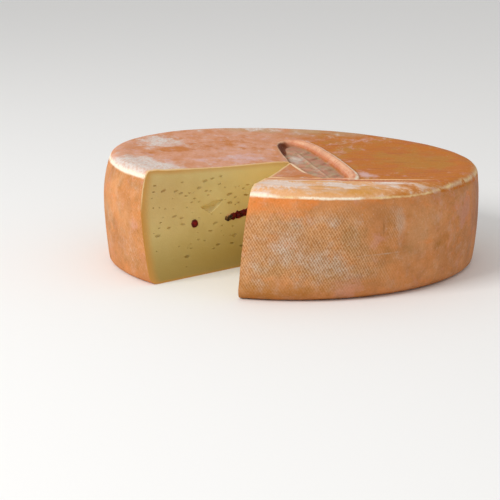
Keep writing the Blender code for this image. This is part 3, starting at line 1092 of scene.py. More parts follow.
@dataclass(frozen=True)
class PressedField:
    """The oval field pressed into the top, its raised border, and the sprig that stands in it.

    Attributes:
        centre: Its middle, as x and y.
        turn: Its long axis's turn from the Y axis.
        half_width: Half its width at its edge.
        half_length: Half its length at its edge.
        squareness: How square it is, from 2.0 for a plain oval upwards.
        depth: How deep its floor lies.
        wall: How wide its soft wall is.
        border_width: The width of the raised border.
        border_rise: The border's height on the side away from the slice.
        border_low_rise: The border's height on the side near the slice.
        stem_length: The length of the sprig's stem.
        stem_width: The width of the stem.
        leaf_pairs: How many pairs of leaves the stem has.
        leaf_spacing: The distance between pairs.
        leaf_length: The length of the longest leaves.
        leaf_width: The width of the longest leaves.
        leaf_angle: How far the leaves stand off the stem.
        sprig_rise: How far the sprig stands up from the floor.
    """

    centre: tuple[float, float] = (0.0171, -0.0013)
    turn: float = math.radians(12.2)
    half_width: float = 0.0184
    half_length: float = 0.0902
    squareness: float = 2.5
    depth: float = 0.0042
    wall: float = 0.0042
    border_width: float = 0.0055
    border_rise: float = 0.0014
    border_low_rise: float = 0.0003
    stem_length: float = 0.146
    stem_width: float = 0.0036
    leaf_pairs: int = 5
    leaf_spacing: float = 0.0255
    leaf_length: float = 0.0180
    leaf_width: float = 0.0072
    leaf_angle: float = math.radians(42)
    sprig_rise: float = 0.0015

    def along_axes(self, x: np.ndarray, y: np.ndarray) -> tuple[np.ndarray, np.ndarray]:
        """Points' distances from the middle along the short and the long axis."""
        east, north = x - self.centre[0], y - self.centre[1]
        across = east * math.cos(self.turn) + north * math.sin(self.turn)
        ahead = north * math.cos(self.turn) - east * math.sin(self.turn)
        return across, ahead

    def outside(self, x: np.ndarray, y: np.ndarray) -> np.ndarray:
        """Points' distances outwards from the field's edge, negative inside it."""
        across, ahead = np.abs(self.along_axes(x, y))
        wide, long = across / self.half_width, ahead / self.half_length
        power = self.squareness - 1
        share = np.maximum(wide ** (power + 1) + long ** (power + 1), 1e-9) ** (1 / (power + 1))
        slope = np.hypot(wide**power / self.half_width, long**power / self.half_length)
        return (share - 1) * share**power / (slope + 1e-9)

    def press(self, x: np.ndarray, y: np.ndarray) -> np.ndarray:
        """How far points lie in the field: 0 outside it and 1 on its floor."""
        return smooth(0.0, -self.wall, self.outside(x, y))

    def border(self, x: np.ndarray, y: np.ndarray) -> np.ndarray:
        """How high the border stands at points."""
        across, _ = self.along_axes(x, y)
        away = 0.5 + 0.5 * np.clip(across / self.half_width, -1, 1)
        rise = self.border_low_rise + (self.border_rise - self.border_low_rise) * away
        off_crest = (self.outside(x, y) - self.border_width / 2) / (self.border_width / 2)
        return rise * np.sqrt(np.clip(1 - off_crest**2, 0, 1))

    def lobe(self, across: np.ndarray, ahead: np.ndarray, reach: float, width: float) -> np.ndarray:
        """The height of a long low mound, given points' distances from its middle."""
        out = (ahead / reach) ** 2 + (across / (width / 2)) ** 2
        return self.sprig_rise * np.sqrt(np.clip(1 - out, 0, 1))

    def sprig(self, x: np.ndarray, y: np.ndarray) -> np.ndarray:
        """How high the sprig stands above the floor at points."""
        across, ahead = self.along_axes(x, y)
        raised = self.lobe(across, ahead, self.stem_length / 2, self.stem_width)
        for pair in range(self.leaf_pairs):
            from_middle = self.leaf_spacing * (pair - (self.leaf_pairs - 1) / 2)
            size = math.sqrt(1 - (from_middle / self.half_length) ** 2)
            reach = size * self.leaf_length / 2
            for side in (-1, 1):
                off_across = across - side * (reach * math.sin(self.leaf_angle) + self.stem_width / 4)
                off_ahead = ahead - from_middle - reach * math.cos(self.leaf_angle)
                turn = side * self.leaf_angle
                leaf_ahead = off_ahead * math.cos(turn) + off_across * math.sin(turn)
                leaf_across = off_across * math.cos(turn) - off_ahead * math.sin(turn)
                leaf = self.lobe(leaf_across, leaf_ahead, reach, size * self.leaf_width)
                raised = np.maximum(raised, leaf)
        return raised

    def relief(self, x: np.ndarray, y: np.ndarray) -> np.ndarray:
        """How far the field, its border and its sprig move points of the top up or down."""
        return self.sprig(x, y) + self.border(x, y) - self.depth * self.press(x, y)


@dataclass(frozen=True)
class Crease:
    """A low fold that the cloth left on the top.

    Attributes:
        start: Where it starts, as x and y.
        end: Where it ends.
        height: How far it stands up, or how deep it is where negative.
        width: How far it falls away on each side.
        bend: How far it strays from a straight line.
        bends: How many times it strays and comes back.
        tail: The share of its length over which each end fades.
    """

    start: tuple[float, float]
    end: tuple[float, float]
    height: float
    width: float
    bend: float = 0.0016
    bends: float = 1.3
    tail: float = 0.2

    def relief(self, x: np.ndarray, y: np.ndarray) -> np.ndarray:
        """How far it moves points of the top up or down."""
        east, north = self.end[0] - self.start[0], self.end[1] - self.start[1]
        length = math.hypot(east, north)
        ahead = ((x - self.start[0]) * east + (y - self.start[1]) * north) / length
        aside = ((y - self.start[1]) * east - (x - self.start[0]) * north) / length
        strayed = self.bend * np.sin(ahead / length * TAU * self.bends + self.start[0] * 90)
        tail = self.tail * length
        ends = smooth(0.0, tail, ahead) * smooth(length, length - tail, ahead)
        return self.height * hump(aside + strayed, self.width) * ends


@dataclass
class Rind:
    """The whole wheel, turned and settled, before the slice is cut out of it.

    Attributes:
        steps: How many steps its turn has.
        ring_spacing: The distance between the top's rings.
        side_rings: How many rings the side has.
        shoulder_rings: How many each of the rounded edges has.
        foot_rings: How many the bottom has.
        pressed: The field pressed into the top.
        bead_height: How high the top's edge stands up inside its rounding.
        bead_inset: How far in from the edge that bead runs.
        bead_width: How far it falls away on each side.
        apex_dip: How far the top has sunk where the cuts meet.
        apex_reach: How far round that the dip falls away.
        strip_edge: Where the raised strip along the near edge ends, as y at x = 0.
        strip_slope: How far its edge slants.
        strip_soft: How far its edge runs out on each side.
        strip_rise: How high it stands.
        strip_right: Between which x it fades on the right.
        strip_left: Between which x it fades on the left.
        relief_fade: How far in from the top's edge the relief comes up.
        humps: The size, height and finer layers of each unevenness of the whole rind.
        humps_start: Between which heights above the bottom they come up.
        hump_levels: In how many steps they do.
        creases: The folds on the top.
    """

    steps: int = 400
    ring_spacing: float = 0.0014
    side_rings: int = 26
    shoulder_rings: int = 8
    foot_rings: int = 10
    pressed: PressedField = field(default_factory=PressedField)
    bead_height: float = 0.0005
    bead_inset: float = 0.0060
    bead_width: float = 0.004
    apex_dip: float = 0.0019
    apex_reach: float = 0.011
    strip_edge: float = -0.0936
    strip_slope: float = 0.087
    strip_soft: float = 0.0015
    strip_rise: float = 0.0009
    strip_right: tuple[float, float] = (0.120, 0.080)
    strip_left: tuple[float, float] = (-0.050, -0.020)
    relief_fade: float = 0.003
    humps: tuple[tuple[float, float, int], ...] = ((0.050, 1.1 * MM, 1), (0.012, 0.35 * MM, 2))
    humps_start: tuple[float, float] = (0.5 * MM, 12 * MM)
    hump_levels: int = 12
    creases: tuple[Crease, ...] = (
        Crease((-0.018, -0.0950), (0.110, -0.0840), 0.0009, 0.0014),
        Crease((0.030, -0.0960), (0.112, -0.0880), -0.0006, 0.0016),
        Crease((0.010, -0.1030), (0.098, -0.0960), 0.0006, 0.0020),
        Crease((-0.022, -0.1090), (0.046, -0.1110), 0.0007, 0.0024),
        Crease((0.030, -0.1180), (0.082, -0.1060), -0.0005, 0.0022),
        Crease((-0.018, -0.1230), (0.030, -0.1240), 0.0006, 0.0020),
        Crease((-0.090, 0.0700), (-0.020, 0.1050), 0.0005, 0.0030),
        Crease((-0.110, 0.0100), (-0.060, 0.0550), 0.0005, 0.0030),
    )

    def profile(self) -> list[tuple[float, float]]:
        """The mean wheel's half section, as radius and height, from the top's middle round."""
        rim = float(FORM.side_radius(1.0))
        rings = round(rim / self.ring_spacing)
        radii = [rim * number / rings for number in range(rings)]
        points = [(radius, float(FORM.dished_height(radius))) for radius in radii]
        height = FORM.height.mean
        top_arc = FORM.top_shoulder.mean / height
        foot_arc = (FORM.bottom_shoulder.mean - FORM.bottom_shoulder.towards_y) / height
        steps = self.shoulder_rings
        quarter = [math.sin(math.radians(90 * (1 - number / steps))) for number in range(steps + 1)]
        shares = [1 - top_arc * (1 - share) for share in quarter]
        shares += list(np.linspace(1 - top_arc, foot_arc, self.side_rings)[1:-1])
        shares += [foot_arc * (1 - share) for share in reversed(quarter)]
        points += [(float(FORM.side_radius(share)), share * height) for share in shares]
        foot, rings = float(FORM.side_radius(0.0)), self.foot_rings
        return points + [(foot * (1 - number / rings), 0.0) for number in range(1, rings + 1)]

    def turn(self) -> bpy.types.Object:
        """Draws the profile point by point and spins it about the wheel's axis."""
        points = [Vector((radius, 0.0, height)) for radius, height in self.profile()]
        start_clean()
        bpy.ops.mesh.primitive_plane_add(size=MM, location=points[0])
        wheel = bpy.context.object
        wheel.name = "raclette_wheel"
        settle_place(wheel)
        bpy.ops.object.mode_set(mode="EDIT")
        bpy.ops.mesh.merge(type="CENTER")
        for before, after in zip(points, points[1:]):
            bpy.ops.mesh.extrude_region_move(TRANSFORM_OT_translate={"value": after - before})
        bpy.ops.mesh.select_all(action="SELECT")
        bpy.ops.mesh.spin(steps=self.steps, angle=TAU, center=(0, 0, 0), axis=(0, 0, 1))
        bpy.ops.mesh.select_all(action="SELECT")
        bpy.ops.mesh.remove_doubles(threshold=0.02 * MM)
        wind_outwards()
        return wheel

    def top_relief(self, x: np.ndarray, y: np.ndarray) -> np.ndarray:
        """Everything that is pressed into the top or stands up from it."""
        angle = np.arctan2(y, x)
        inset = FORM.side_radius(1.0, angle) - np.hypot(x, y)
        relief = self.pressed.relief(x, y)
        relief += self.bead_height * hump(inset - self.bead_inset, self.bead_width)
        apex = CUTS[Side.LEFT].meeting
        relief -= self.apex_dip * hump(np.hypot(x - apex[0], y - apex[1]), self.apex_reach)
        off_edge = y - self.strip_edge - self.strip_slope * x
        strip = smooth(self.strip_soft, -self.strip_soft, off_edge)
        relief += self.strip_rise * strip * smooth(*self.strip_right, x) * smooth(*self.strip_left, x)
        for crease in self.creases:
            relief += crease.relief(x, y)
        return relief * smooth(0.0, self.relief_fade, inset)

    def settle(self, wheel: bpy.types.Object) -> None:
        """Moves the turned wheel's points to where the uneven wheel has them."""
        points = coordinates(wheel.data)
        x, y, z = points.T
        share = np.minimum(1.0, z / FORM.height.mean)
        stretch = FORM.side_radius(share, np.arctan2(y, x)) / FORM.side_radius(share)
        on_top = z > FORM.height.mean - FORM.top_dish - 0.1 * MM
        x, y = x * stretch, y * stretch
        z = z * FORM.height_scale(x, y) + np.where(on_top, self.top_relief(x, y), 0.0)
        wheel.data.vertices.foreach_set("co", np.stack([x, y, z], 1).ravel())
        wheel.data.update()

    def weather(self, wheel: bpy.types.Object) -> None:
        """Makes the rind a little uneven everywhere but on the bottom, which stays flat."""
        heights = coordinates(wheel.data)[:, 2]
        free = wheel.vertex_groups.new(name="free")
        levels = self.hump_levels
        weights = np.round(smooth(*self.humps_start, heights) * levels).astype(int)
        for level in range(1, levels + 1):
            free.add(np.flatnonzero(weights == level).tolist(), level / levels, "REPLACE")
        for size, strength, finer in self.humps:
            roughen(wheel, size, strength, finer, free.name)
        apply_all(wheel)

    def build(self) -> bpy.types.Object:
        """Builds the whole wheel of rind."""
        wheel = self.turn()
        self.settle(wheel)
        self.weather(wheel)
        return wheel


@dataclass(frozen=True)
class Run:
    """A row of peppercorns that lie close together in one torn hollow.

    Attributes:
        reach: Its middle, along the cut.
        height: Its middle's height.
        length: Its length.
        tilt: How far it lifts towards the rind, in radians.
        seed: Sets its corns' places and sizes.
        kinds: The kinds of its corns, going out.
        width: The width of its hollow.
        depth: The depth of its hollow.
        pitch: The distance from corn to corn.
        corn_sizes: The smallest and the largest corn, as shares of the full diameter.
        corn_stray: How far a corn lies above or below the row's line.
        crumb_count: How many crushed bits lie between the corns.
        crumb_sizes: The smallest and the largest bit, as shares of a corn's full diameter.
        crumb_stray: How far a bit lies above or below the row's line.
        crumb_reach: Between which shares of the row's length the bits lie.
    """

    reach: float
    height: float
    length: float
    tilt: float
    seed: int
    kinds: tuple[CornKind, ...]
    width: float = 0.0054
    depth: float = 0.0032
    pitch: float = 0.0050
    corn_sizes: tuple[float, float] = (0.60, 0.88)
    corn_stray: float = 0.0009
    crumb_count: int = 16
    crumb_sizes: tuple[float, float] = (0.28, 0.60)
    crumb_stray: float = 0.0024
    crumb_reach: tuple[float, float] = (-0.50, 0.52)

    def crumbs(self) -> list[tuple[float, float, float, CornKind]]:
        """Crushed bits between its corns, as reach, height, share of the full diameter and kind."""
        draw = random.Random(self.seed + 100)
        crumbs = []
        for _ in range(self.crumb_count):
            along = self.length * draw.uniform(*self.crumb_reach)
            narrowed = 1.0 - 0.7 * max(0.0, 2 * along / self.length) ** 2
            stray = draw.uniform(-self.crumb_stray, self.crumb_stray)
            height = self.height + along * math.tan(self.tilt) + stray * narrowed
            kind = self.kinds[int((along / self.length + 0.5) * len(self.kinds)) % len(self.kinds)]
            crumbs.append((self.reach + along, height, draw.uniform(*self.crumb_sizes), kind))
        return crumbs

    def corns(self) -> list[tuple[float, float, float, CornKind]]:
        """Its corns, as reach, height, share of the full diameter and kind."""
        draw = random.Random(self.seed)
        count = round(self.length / self.pitch)
        corns = []
        for number in range(count):
            along = self.length * ((number + 0.5) / count - 0.5)
            reach = self.reach + along * math.cos(self.tilt)
            stray = draw.uniform(-self.corn_stray, self.corn_stray)
            height = self.height + along * math.sin(self.tilt) + stray
            narrowed = 1.0 - 0.5 * max(0.0, 2 * along / self.length) ** 3
            share = draw.uniform(*self.corn_sizes) * narrowed
            corns.append((reach, height, share, self.kinds[number % len(self.kinds)]))
        return corns


@dataclass(frozen=True)
class CutFace:
    """What shows in one cut: its peppercorns and its holes.

    Attributes:
        cut: The cut.
        seed: Sets the small holes.
        corns: The single corns, as reach, height and share of the full diameter.
        run: The row of corns.
        large_eyes: Holes with a place of their own, as reach, height and length.
        torn: Reach and height of the torn hole, if the cut has one.
        eye_count: How many holes it has in all.
        eye_reach: Between which reaches the small ones lie.
        eye_height: The lowest height of the small ones, and how far above it they go.
        eye_length: The length of the smallest, and what the largest of the small ones adds to it.
        large_flatness: Between which shares of its length a large hole's height lies.
        small_flatness: The same of a small one.
        eye_gap: The paste between holes.
        corn_room: How far holes keep from a corn's middle.
        torn_room: How far they keep from each of three points of the torn hole.
        torn_points: Where those points lie along the cut.
        stain: How far a full-sized corn has stained the paste.
        run_stain: How far each corn of the row has.
    """

    cut: Cut
    seed: int
    corns: tuple[tuple[float, float, float], ...]
    run: Run
    large_eyes: tuple[tuple[float, float, float], ...] = ()
    torn: tuple[float, float] | None = None
    eye_count: int = 92
    eye_reach: tuple[float, float] = (0.022, 0.142)
    eye_height: tuple[float, float] = (0.008, 0.066)
    eye_length: tuple[float, float] = (0.0015, 0.0040)
    large_flatness: tuple[float, float] = (0.28, 0.42)
    small_flatness: tuple[float, float] = (0.26, 0.44)
    eye_gap: float = 0.0007
    corn_room: float = 0.0032
    torn_room: float = 0.0055
    torn_points: tuple[float, ...] = (-0.008, 0.0, 0.008)
    stain: float = 0.0050
    run_stain: float = 0.0046

    def all_corns(self) -> list[tuple[float, float, float, CornKind]]:
        """Every corn of the cut, as reach, height, share of the full diameter and kind."""
        return [(*corn, CornKind.RED) for corn in self.corns] + self.run.corns() + self.run.crumbs()

    def stains(self) -> list[Patch]:
        """The patches of paste that its corns have stained."""
        spots = [(reach, height, self.stain * share) for reach, height, share in self.corns]
        spots += [(reach, height, self.run_stain) for reach, height, *_ in self.run.corns()]
        return [
            Patch(tuple(self.cut.place(reach, height).translation), (size, size, size), 1.0)
            for reach, height, size in spots
        ]

    def eyes(self) -> list[tuple[float, float, float, float, float]]:
        """Its holes, as reach, height, length, flatness and tilt."""
        draw = random.Random(self.seed)
        taken = [(reach, height, self.corn_room) for reach, height, *_ in self.all_corns()]
        if self.torn:
            taken += [(self.torn[0] + point, self.torn[1], self.torn_room) for point in self.torn_points]
        made = []
        for reach, height, length in self.large_eyes:
            flatness, tilt = draw.uniform(*self.large_flatness), draw.gauss(0.0, 0.12)
            made.append((reach, height, length, flatness, tilt))
            taken.append((reach, height, length / 2))
        while len(made) < self.eye_count:
            reach = draw.uniform(*self.eye_reach)
            height = self.eye_height[0] + self.eye_height[1] * draw.betavariate(2.0, 1.4)
            length = self.eye_length[0] + self.eye_length[1] * draw.random() ** 2
            flatness, tilt = draw.uniform(*self.small_flatness), draw.gauss(0.0, 0.14)
            room = self.eye_gap + length / 2
            if all(math.hypot(reach - r, height - h) > room + radius for r, h, radius in taken):
                made.append((reach, height, length, flatness, tilt))
                taken.append((reach, height, length / 2))
        return made


LEFT_FACE = CutFace(
    cut=CUTS[Side.LEFT],
    seed=11,
    corns=((0.1036, 0.0401, 1.0),),
    run=Run(
        0.0580, 0.0412, 0.0300, math.radians(-7), 5,
        (CornKind.RED, CornKind.RED, CornKind.RED, CornKind.RED, CornKind.RED, CornKind.DARK),
    ),
    large_eyes=(
        (0.1306, 0.0685, 0.0052), (0.1190, 0.0668, 0.0044), (0.1126, 0.0726, 0.0030),
        (0.0970, 0.0664, 0.0050), (0.0754, 0.0728, 0.0032), (0.0681, 0.0580, 0.0062),
        (0.0491, 0.0627, 0.0040), (0.1221, 0.0481, 0.0050), (0.1149, 0.0409, 0.0046),
        (0.0826, 0.0206, 0.0046), (0.0690, 0.0198, 0.0042), (0.1020, 0.0590, 0.0036),
        (0.1146, 0.0646, 0.0044), (0.1100, 0.0620, 0.0036), (0.0904, 0.0632, 0.0036),
        (0.0886, 0.0600, 0.0030), (0.1050, 0.0566, 0.0032), (0.0980, 0.0560, 0.0030),
    ),
    torn=(0.0875, 0.0524),
)
RIGHT_FACE = CutFace(
    cut=CUTS[Side.RIGHT],
    seed=23,
    corns=((0.1130, 0.0455, 0.95), (0.0610, 0.0385, 0.80)),
    run=Run(
        0.0880, 0.0395, 0.0300, math.radians(5), 8,
        (CornKind.RED, CornKind.DARK, CornKind.RED, CornKind.DARK, CornKind.DARK, CornKind.DARK),
    ),
    large_eyes=(
        (0.1250, 0.0640, 0.0036), (0.1040, 0.0600, 0.0044), (0.0920, 0.0250, 0.0038),
        (0.0470, 0.0560, 0.0040), (0.1180, 0.0240, 0.0042), (0.0700, 0.0620, 0.0034),
    ),
)


@dataclass
class Carving:
    """Cuts the slice out of the wheel, and the holes into its two faces.

    Attributes:
        faces: The two faces.
        slab_size: The length and height of the slab's face, which reaches past the wheel.
        slab_cells: How finely that face is divided.
        slab_depth: How thick the slab is.
        slab_middle: Reach and height of its middle.
        slab_humps: The size and height of each unevenness of its face.
        eye_shapes: How many shapes the small holes take.
        eye_humps: The unevenness of a hole of radius 1.
        eye_lean: How far the holes lean upwards into the paste.
        eye_depth: The share of its length that a hole's half depth has, and what it adds to that.
        hollow_humps: The unevenness of a hollow of radius 1.
        torn_size: What a length of 1 in its first shape becomes along the cut, up it and into it.
        torn_ends: The radii of the cone that it starts from, at its foot and at the paste's face.
        torn_cuts: How finely that cone is divided.
        torn_humps: The unevenness of the torn hole before it has its size.
        torn_drop: How far its middle lies below its place.
        torn_tilt: How far it lifts towards the rind.
        torn_lean: How far it leans about its long axis.
        torn_slant: How far it slants about its height.
    """

    faces: tuple[CutFace, ...] = (LEFT_FACE, RIGHT_FACE)
    slab_size: tuple[float, float] = (0.200, 0.120)
    slab_cells: tuple[int, int] = (132, 80)
    slab_depth: float = 0.200
    slab_middle: tuple[float, float] = (0.085, 0.045)
    slab_humps: tuple[tuple[float, float], ...] = ((0.045, 1.0 * MM), (0.012, 0.25 * MM))
    eye_shapes: int = 4
    eye_humps: tuple[float, float] = (0.9, 0.45)
    eye_lean: float = math.radians(40)
    eye_depth: tuple[float, float] = (0.30, 0.3 * MM)
    hollow_humps: tuple[float, float] = (0.5, 0.12)
    torn_size: tuple[float, float, float] = (0.0205 / math.sqrt(3), 0.0092 / 1.5, 0.0030)
    torn_ends: tuple[float, float] = (0.45, 1.55)
    torn_cuts: int = 9
    torn_humps: tuple[float, float] = (0.6, 0.30)
    torn_drop: float = 0.0025
    torn_tilt: float = math.radians(-3)
    torn_lean: float = math.radians(-24)
    torn_slant: float = math.radians(5)

    def slab(self, cut: Cut, paste: bpy.types.Material) -> bpy.types.Object:
        """A thick slab with one finely divided, slightly wavy face on the cut.

        Args:
            cut: The cut.
            paste: The material of its faces.

        Returns:
            The slab.
        """
        start_clean()
        across, up = self.slab_cells
        bpy.ops.mesh.primitive_grid_add(x_subdivisions=across, y_subdivisions=up, size=1.0)
        slab = bpy.context.object
        slab.name = f"gap_{cut.side.name.lower()}"
        slab.scale = (*self.slab_size, 1.0)
        settle_place(slab)
        for humps in self.slab_humps:
            roughen(slab, *humps)
        apply_all(slab)
        bpy.ops.object.mode_set(mode="EDIT")
        bpy.ops.mesh.select_all(action="SELECT")
        bpy.ops.mesh.extrude_region_move(TRANSFORM_OT_translate={"value": (0, 0, self.slab_depth)})
        wind_outwards()
        slab.data.materials.append(paste)
        slab.matrix_world = cut.place(*self.slab_middle)
        return slab

    def eyes(self, paste: bpy.types.Material) -> bpy.types.Object:
        """The holes of both cuts. They lean upwards into the paste.

        Args:
            paste: The material of their walls.

        Returns:
            One cutter for all of them.
        """
        lean = Matrix.Rotation(self.eye_lean, 4, "X")
        shapes = [
            uneven_ball(f"eye_shape_{number}", 3, self.eye_humps, turn=number * 1.1)
            for number in range(self.eye_shapes)
        ]
        meshes = []
        for face in self.faces:
            for number, (reach, height, length, flatness, tilt) in enumerate(face.eyes()):
                mesh = shapes[number % len(shapes)].data.copy()
                depth = self.eye_depth[0] * length + self.eye_depth[1]
                size = Matrix.Diagonal((length / 2, length / 2 * flatness, depth, 1.0))
                mesh.transform(face.cut.place(reach, height, tilt) @ lean @ size)
                mesh.materials.append(paste)
                meshes.append(mesh)
        for shape in shapes:
            bpy.data.objects.remove(shape, do_unlink=True)
        return joined("eyes", meshes)

    def run_hollow(self, face: CutFace, paste: bpy.types.Material) -> bpy.types.Object:
        """The hollow that a face's row of peppercorns lies in.

        Args:
            face: The face.
            paste: The material of its wall.

        Returns:
            The cutter.
        """
        run = face.run
        hollow = uneven_ball("hollow", 4, self.hollow_humps)
        size = Matrix.Diagonal((run.length / 2 + MM, run.width / 2, run.depth, 1.0))
        hollow.matrix_world = face.cut.place(run.reach, run.height, run.tilt) @ size
        settle_place(hollow)
        hollow.data.materials.append(paste)
        return hollow

    def torn_hole(self, face: CutFace, paste: bpy.types.Material) -> bpy.types.Object:
        """The torn hole: a shallow three-cornered chip with its long edge on top.

        Args:
            face: The face that has it.
            paste: The material of its wall.

        Returns:
            The cutter.
        """
        start_clean()
        foot, mouth = self.torn_ends
        bpy.ops.mesh.primitive_cone_add(vertices=3, radius1=foot, radius2=mouth, depth=2.0)
        chip = bpy.context.object
        chip.name = "torn_hole"
        bpy.ops.object.mode_set(mode="EDIT")
        bpy.ops.mesh.select_all(action="SELECT")
        bpy.ops.mesh.subdivide(number_cuts=self.torn_cuts)
        bpy.ops.mesh.vertices_smooth(factor=0.5, repeat=3)
        bpy.ops.object.mode_set(mode="OBJECT")
        roughen(chip, *self.torn_humps)
        apply_all(chip)
        reach, height = face.torn
        place = face.cut.place(reach, height - self.torn_drop, self.torn_tilt)
        slope = Matrix.Rotation(self.torn_slant, 4, "Y") @ Matrix.Rotation(self.torn_lean, 4, "X")
        size = Matrix.Diagonal((*self.torn_size, 1.0)) @ Matrix.Rotation(math.pi, 4, "Z")
        chip.matrix_world = place @ slope @ size
        settle_place(chip)
        chip.data.materials.append(paste)
        return chip

    def carve(self, wheel: bpy.types.Object, paste: bpy.types.Material) -> None:
        """Cuts the slice and every hole out of the wheel.

        Args:
            wheel: The wheel.
            paste: The material of the cuts and of the holes.
        """
        gap, other = [self.slab(face.cut, paste) for face in self.faces]
        boolean(gap, "INTERSECT", other)
        boolean(wheel, "DIFFERENCE", gap)
        boolean(wheel, "DIFFERENCE", self.eyes(paste))
        for face in self.faces:
            boolean(wheel, "DIFFERENCE", self.run_hollow(face, paste))
            if face.torn:
                boolean(wheel, "DIFFERENCE", self.torn_hole(face, paste))


@dataclass
class RacletteWheel:
    """The wheel of cheese with its slice cut out.

    Attributes:
        smooth_up_to: The angle up to which an edge is shaded smooth.
        ridge_reach: How far round a point the relief is compared with the point's own.
        ridge_around: At how many places it is.
        ridge_height: The difference that counts as a full ridge.
        far: The distance from a cut or from the field's edge past which it no longer matters.
        foot: How far up from the bottom the way down the side turns under.
    """

    rind: Rind = field(default_factory=Rind)
    carving: Carving = field(default_factory=Carving)
    rind_finish: RindFinish = RindFinish()
    paste_finish: PasteFinish = PasteFinish()
    smooth_up_to: float = math.radians(38)
    ridge_reach: float = 0.0022
    ridge_around: int = 8
    ridge_height: float = 0.0007
    far: float = 0.02
    foot: float = 12 * MM

    def from_cuts(self, x: np.ndarray, y: np.ndarray, z: np.ndarray) -> np.ndarray:
        """Points' distances from the nearer cut, as far as the cuts run."""
        away = np.full_like(x, 1.0)
        for cut in CUTS.values():
            east, north, up = x - cut.meeting[0], y - cut.meeting[1], z - cut.meeting[2]
            ahead = east * cut.along.x + north * cut.along.y
            off = -(east * cut.normal.x + north * cut.normal.y + up * cut.normal.z)
            away = np.minimum(away, np.where(ahead > -MM, np.abs(off), 1.0))
        return np.clip(away, 0.0, self.far)

    def ridge(self, x: np.ndarray, y: np.ndarray) -> np.ndarray:
        """How far the top's relief at points stands above that round them, from -1 to 1."""
        around = np.zeros_like(x)
        for number in range(self.ridge_around):
            turn = number * TAU / self.ridge_around
            around += self.rind.top_relief(
                x + self.ridge_reach * math.cos(turn), y + self.ridge_reach * math.sin(turn)
            )
        above = self.rind.top_relief(x, y) - around / self.ridge_around
        return np.clip(above / self.ridge_height, -1, 1)

    def mark(self, wheel: bpy.types.Object) -> None:
        """Keeps on the mesh what its materials read."""
        x, y, z = coordinates(wheel.data).T
        angle, radius = np.arctan2(y, x), np.hypot(x, y)
        share = np.clip(z / (FORM.height.mean * FORM.height_scale(x, y)), 0, 1)
        rim_height = FORM.rim_height(angle)
        inset = FORM.side_radius(1.0, angle) - radius
        turned_under = smooth(self.foot, 0.0, z)
        store(wheel.data, "skin", rim_height - z - np.maximum(inset, 0) * (1 - 2 * turned_under))
        pressed = self.rind.pressed
        store(wheel.data, "edge", np.clip(pressed.outside(x, y), -self.far, self.far))
        across, _ = pressed.along_axes(x, y)
        store(wheel.data, "border", 0.5 + 0.5 * np.clip(across / pressed.half_width, -1, 1))
        store(wheel.data, "ridge", self.ridge(x, y))
        store(wheel.data, "cut", self.from_cuts(x, y, z))
        from_top = FORM.top_height(x, y) + self.rind.top_relief(x, y) - z
        from_side = FORM.side_radius(share, angle) - radius
        store(wheel.data, "rind_depth", np.minimum(np.minimum(from_top * 2, from_side), z * 4))

    def build(self) -> bpy.types.Object:
        """Builds and dresses the wheel."""
        wheel = self.rind.build()
        wheel.data.materials.append(self.rind_finish.build())
        stains = tuple(stain for face in self.carving.faces for stain in face.stains())
        self.carving.carve(wheel, self.paste_finish.build(stains))
        self.mark(wheel)
        choose(wheel)
        bpy.ops.object.shade_smooth_by_angle(angle=self.smooth_up_to)
        return wheel


@dataclass
class Peppercorns:
    """The peppercorns of one kind that show in the cuts.

    Attributes:
        kind: Their kind.
        faces: The faces that show them.
        diameter: The full diameter of one.
        wrinkles: The size, height and finer layers of each unevenness of a corn of radius 1.
        proud: How far a corn stands out of the paste, as a share of its radius.
        turns: How far each corn is turned about X and about Z from the one before, in radians.
    """

    kind: CornKind
    faces: tuple[CutFace, ...] = (LEFT_FACE, RIGHT_FACE)
    diameter: float = 0.0066
    wrinkles: tuple[tuple[float, float, int], ...] = ((0.55, 0.24, 1), (0.22, 0.08, 0))
    proud: float = 0.62
    turns: tuple[float, float] = (1.7, 2.3)

    def build(self) -> bpy.types.Object:
        """Builds and dresses the corns as one piece."""
        shape = uneven_ball("corn_shape", 4, *self.wrinkles)
        finish = CornFinish(self.kind).build()
        meshes = []
        for face in self.faces:
            for number, (reach, height, share, kind) in enumerate(face.all_corns()):
                if kind is not self.kind:
                    continue
                radius = share * self.diameter / 2
                mesh = shape.data.copy()
                about_x, about_z = [number * turn for turn in self.turns]
                turn = Matrix.Rotation(about_x, 4, "X") @ Matrix.Rotation(about_z, 4, "Z")
                place = face.cut.place(reach, height, sink=radius * (1 - self.proud))
                mesh.transform(place @ turn @ Matrix.Scale(radius, 4))
                mesh.materials.append(finish)
                meshes.append(mesh)
        bpy.data.objects.remove(shape, do_unlink=True)
        corns = joined(f"{self.kind.name.lower()}_peppercorns", meshes)
        bpy.ops.object.shade_smooth()
        return corns


# The studio

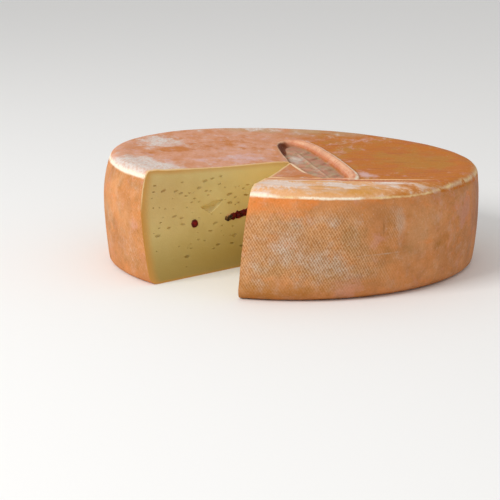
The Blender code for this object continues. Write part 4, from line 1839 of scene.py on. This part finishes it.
@dataclass(frozen=True)
class Studio:
    """The floor, the light and the camera.

    Attributes:
        camera_at: Where the camera stands.
        camera_looks: The direction in which it looks.
        camera_up: The direction that is up in its picture.
        focal_share: Its focal length as a share of its sensor's width.
        sensor: The width of its sensor in millimetres.
        floor_size: The side of the floor.
        sky: How bright the white world is.
        key_at: Where the lamp hangs.
        key_aim: What it points at.
        key_size: The side of its square face.
        key_watts: Its power.
    """

    camera_at: tuple[float, float, float] = (0.0, -1.07444, 0.27192)
    camera_looks: tuple[float, float, float] = (-0.02950, 0.96945, -0.24353)
    camera_up: tuple[float, float, float] = (-0.00693, 0.24343, 0.96989)
    focal_share: float = 2.71329
    sensor: float = 36.0
    floor_size: float = 14.0
    sky: float = 0.62
    key_at: tuple[float, float, float] = (-1.55, -1.15, 1.35)
    key_aim: tuple[float, float, float] = (0, 0, 0.04)
    key_size: float = 1.0
    key_watts: float = 34.0

    def floor(self) -> bpy.types.Object:
        """A plain pale floor."""
        start_clean()
        bpy.ops.mesh.primitive_plane_add(size=self.floor_size)
        floor = bpy.context.object
        floor.name = "floor"
        g = Graph("floor", 0.8)
        g.shader.inputs["Base Color"].default_value = linear(246, 245, 243)
        floor.data.materials.append(g.material)
        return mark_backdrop(floor)

    def key(self) -> None:
        """The one large soft lamp."""
        start_clean()
        bpy.ops.object.light_add(type="AREA", location=self.key_at)
        lamp = bpy.context.object
        lamp.name = "key"
        lamp.data.size = self.key_size
        lamp.data.energy = self.key_watts
        aim = Vector(self.key_aim) - Vector(self.key_at)
        lamp.rotation_euler = aim.to_track_quat("-Z", "Y").to_euler()

    def camera(self) -> None:
        """Sets the camera where the photograph was taken from."""
        start_clean()
        bpy.ops.object.camera_add(location=self.camera_at)
        camera = bpy.context.object
        ahead, up = Vector(self.camera_looks), Vector(self.camera_up)
        camera.rotation_euler = Matrix((ahead.cross(up), up, -ahead)).transposed().to_euler()
        camera.data.sensor_width = self.sensor
        camera.data.lens = self.focal_share * self.sensor
        bpy.context.scene.camera = camera

    def build(self) -> None:
        """Sets up the whole studio."""
        scene = bpy.context.scene
        scene.view_settings.view_transform = "Standard"
        world = bpy.data.worlds.new("studio")
        world.use_nodes = True
        background = world.node_tree.nodes["Background"]
        background.inputs["Color"].default_value = (1, 1, 1, 1)
        background.inputs["Strength"].default_value = self.sky
        scene.world = world
        self.floor()
        self.key()
        self.camera()


def dress(piece: bpy.types.Object) -> None:
    """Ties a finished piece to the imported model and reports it.

    Args:
        piece: The piece, with its place in its mesh.
    """
    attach(piece, BODY)
    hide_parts(NODE)
    triangles = sum(len(polygon.vertices) - 2 for polygon in piece.data.polygons)
    LOG.info("%s: %d triangles", piece.name, triangles)


def main() -> None:
    """Builds the cheese and the studio."""
    logging.basicConfig(level=logging.INFO, format="%(name)s: %(message)s")
    Studio().build()
    dress(RacletteWheel().build())
    dress(Peppercorns(CornKind.RED).build())
    dress(Peppercorns(CornKind.DARK).build())


if __name__ == "__main__":
    main()
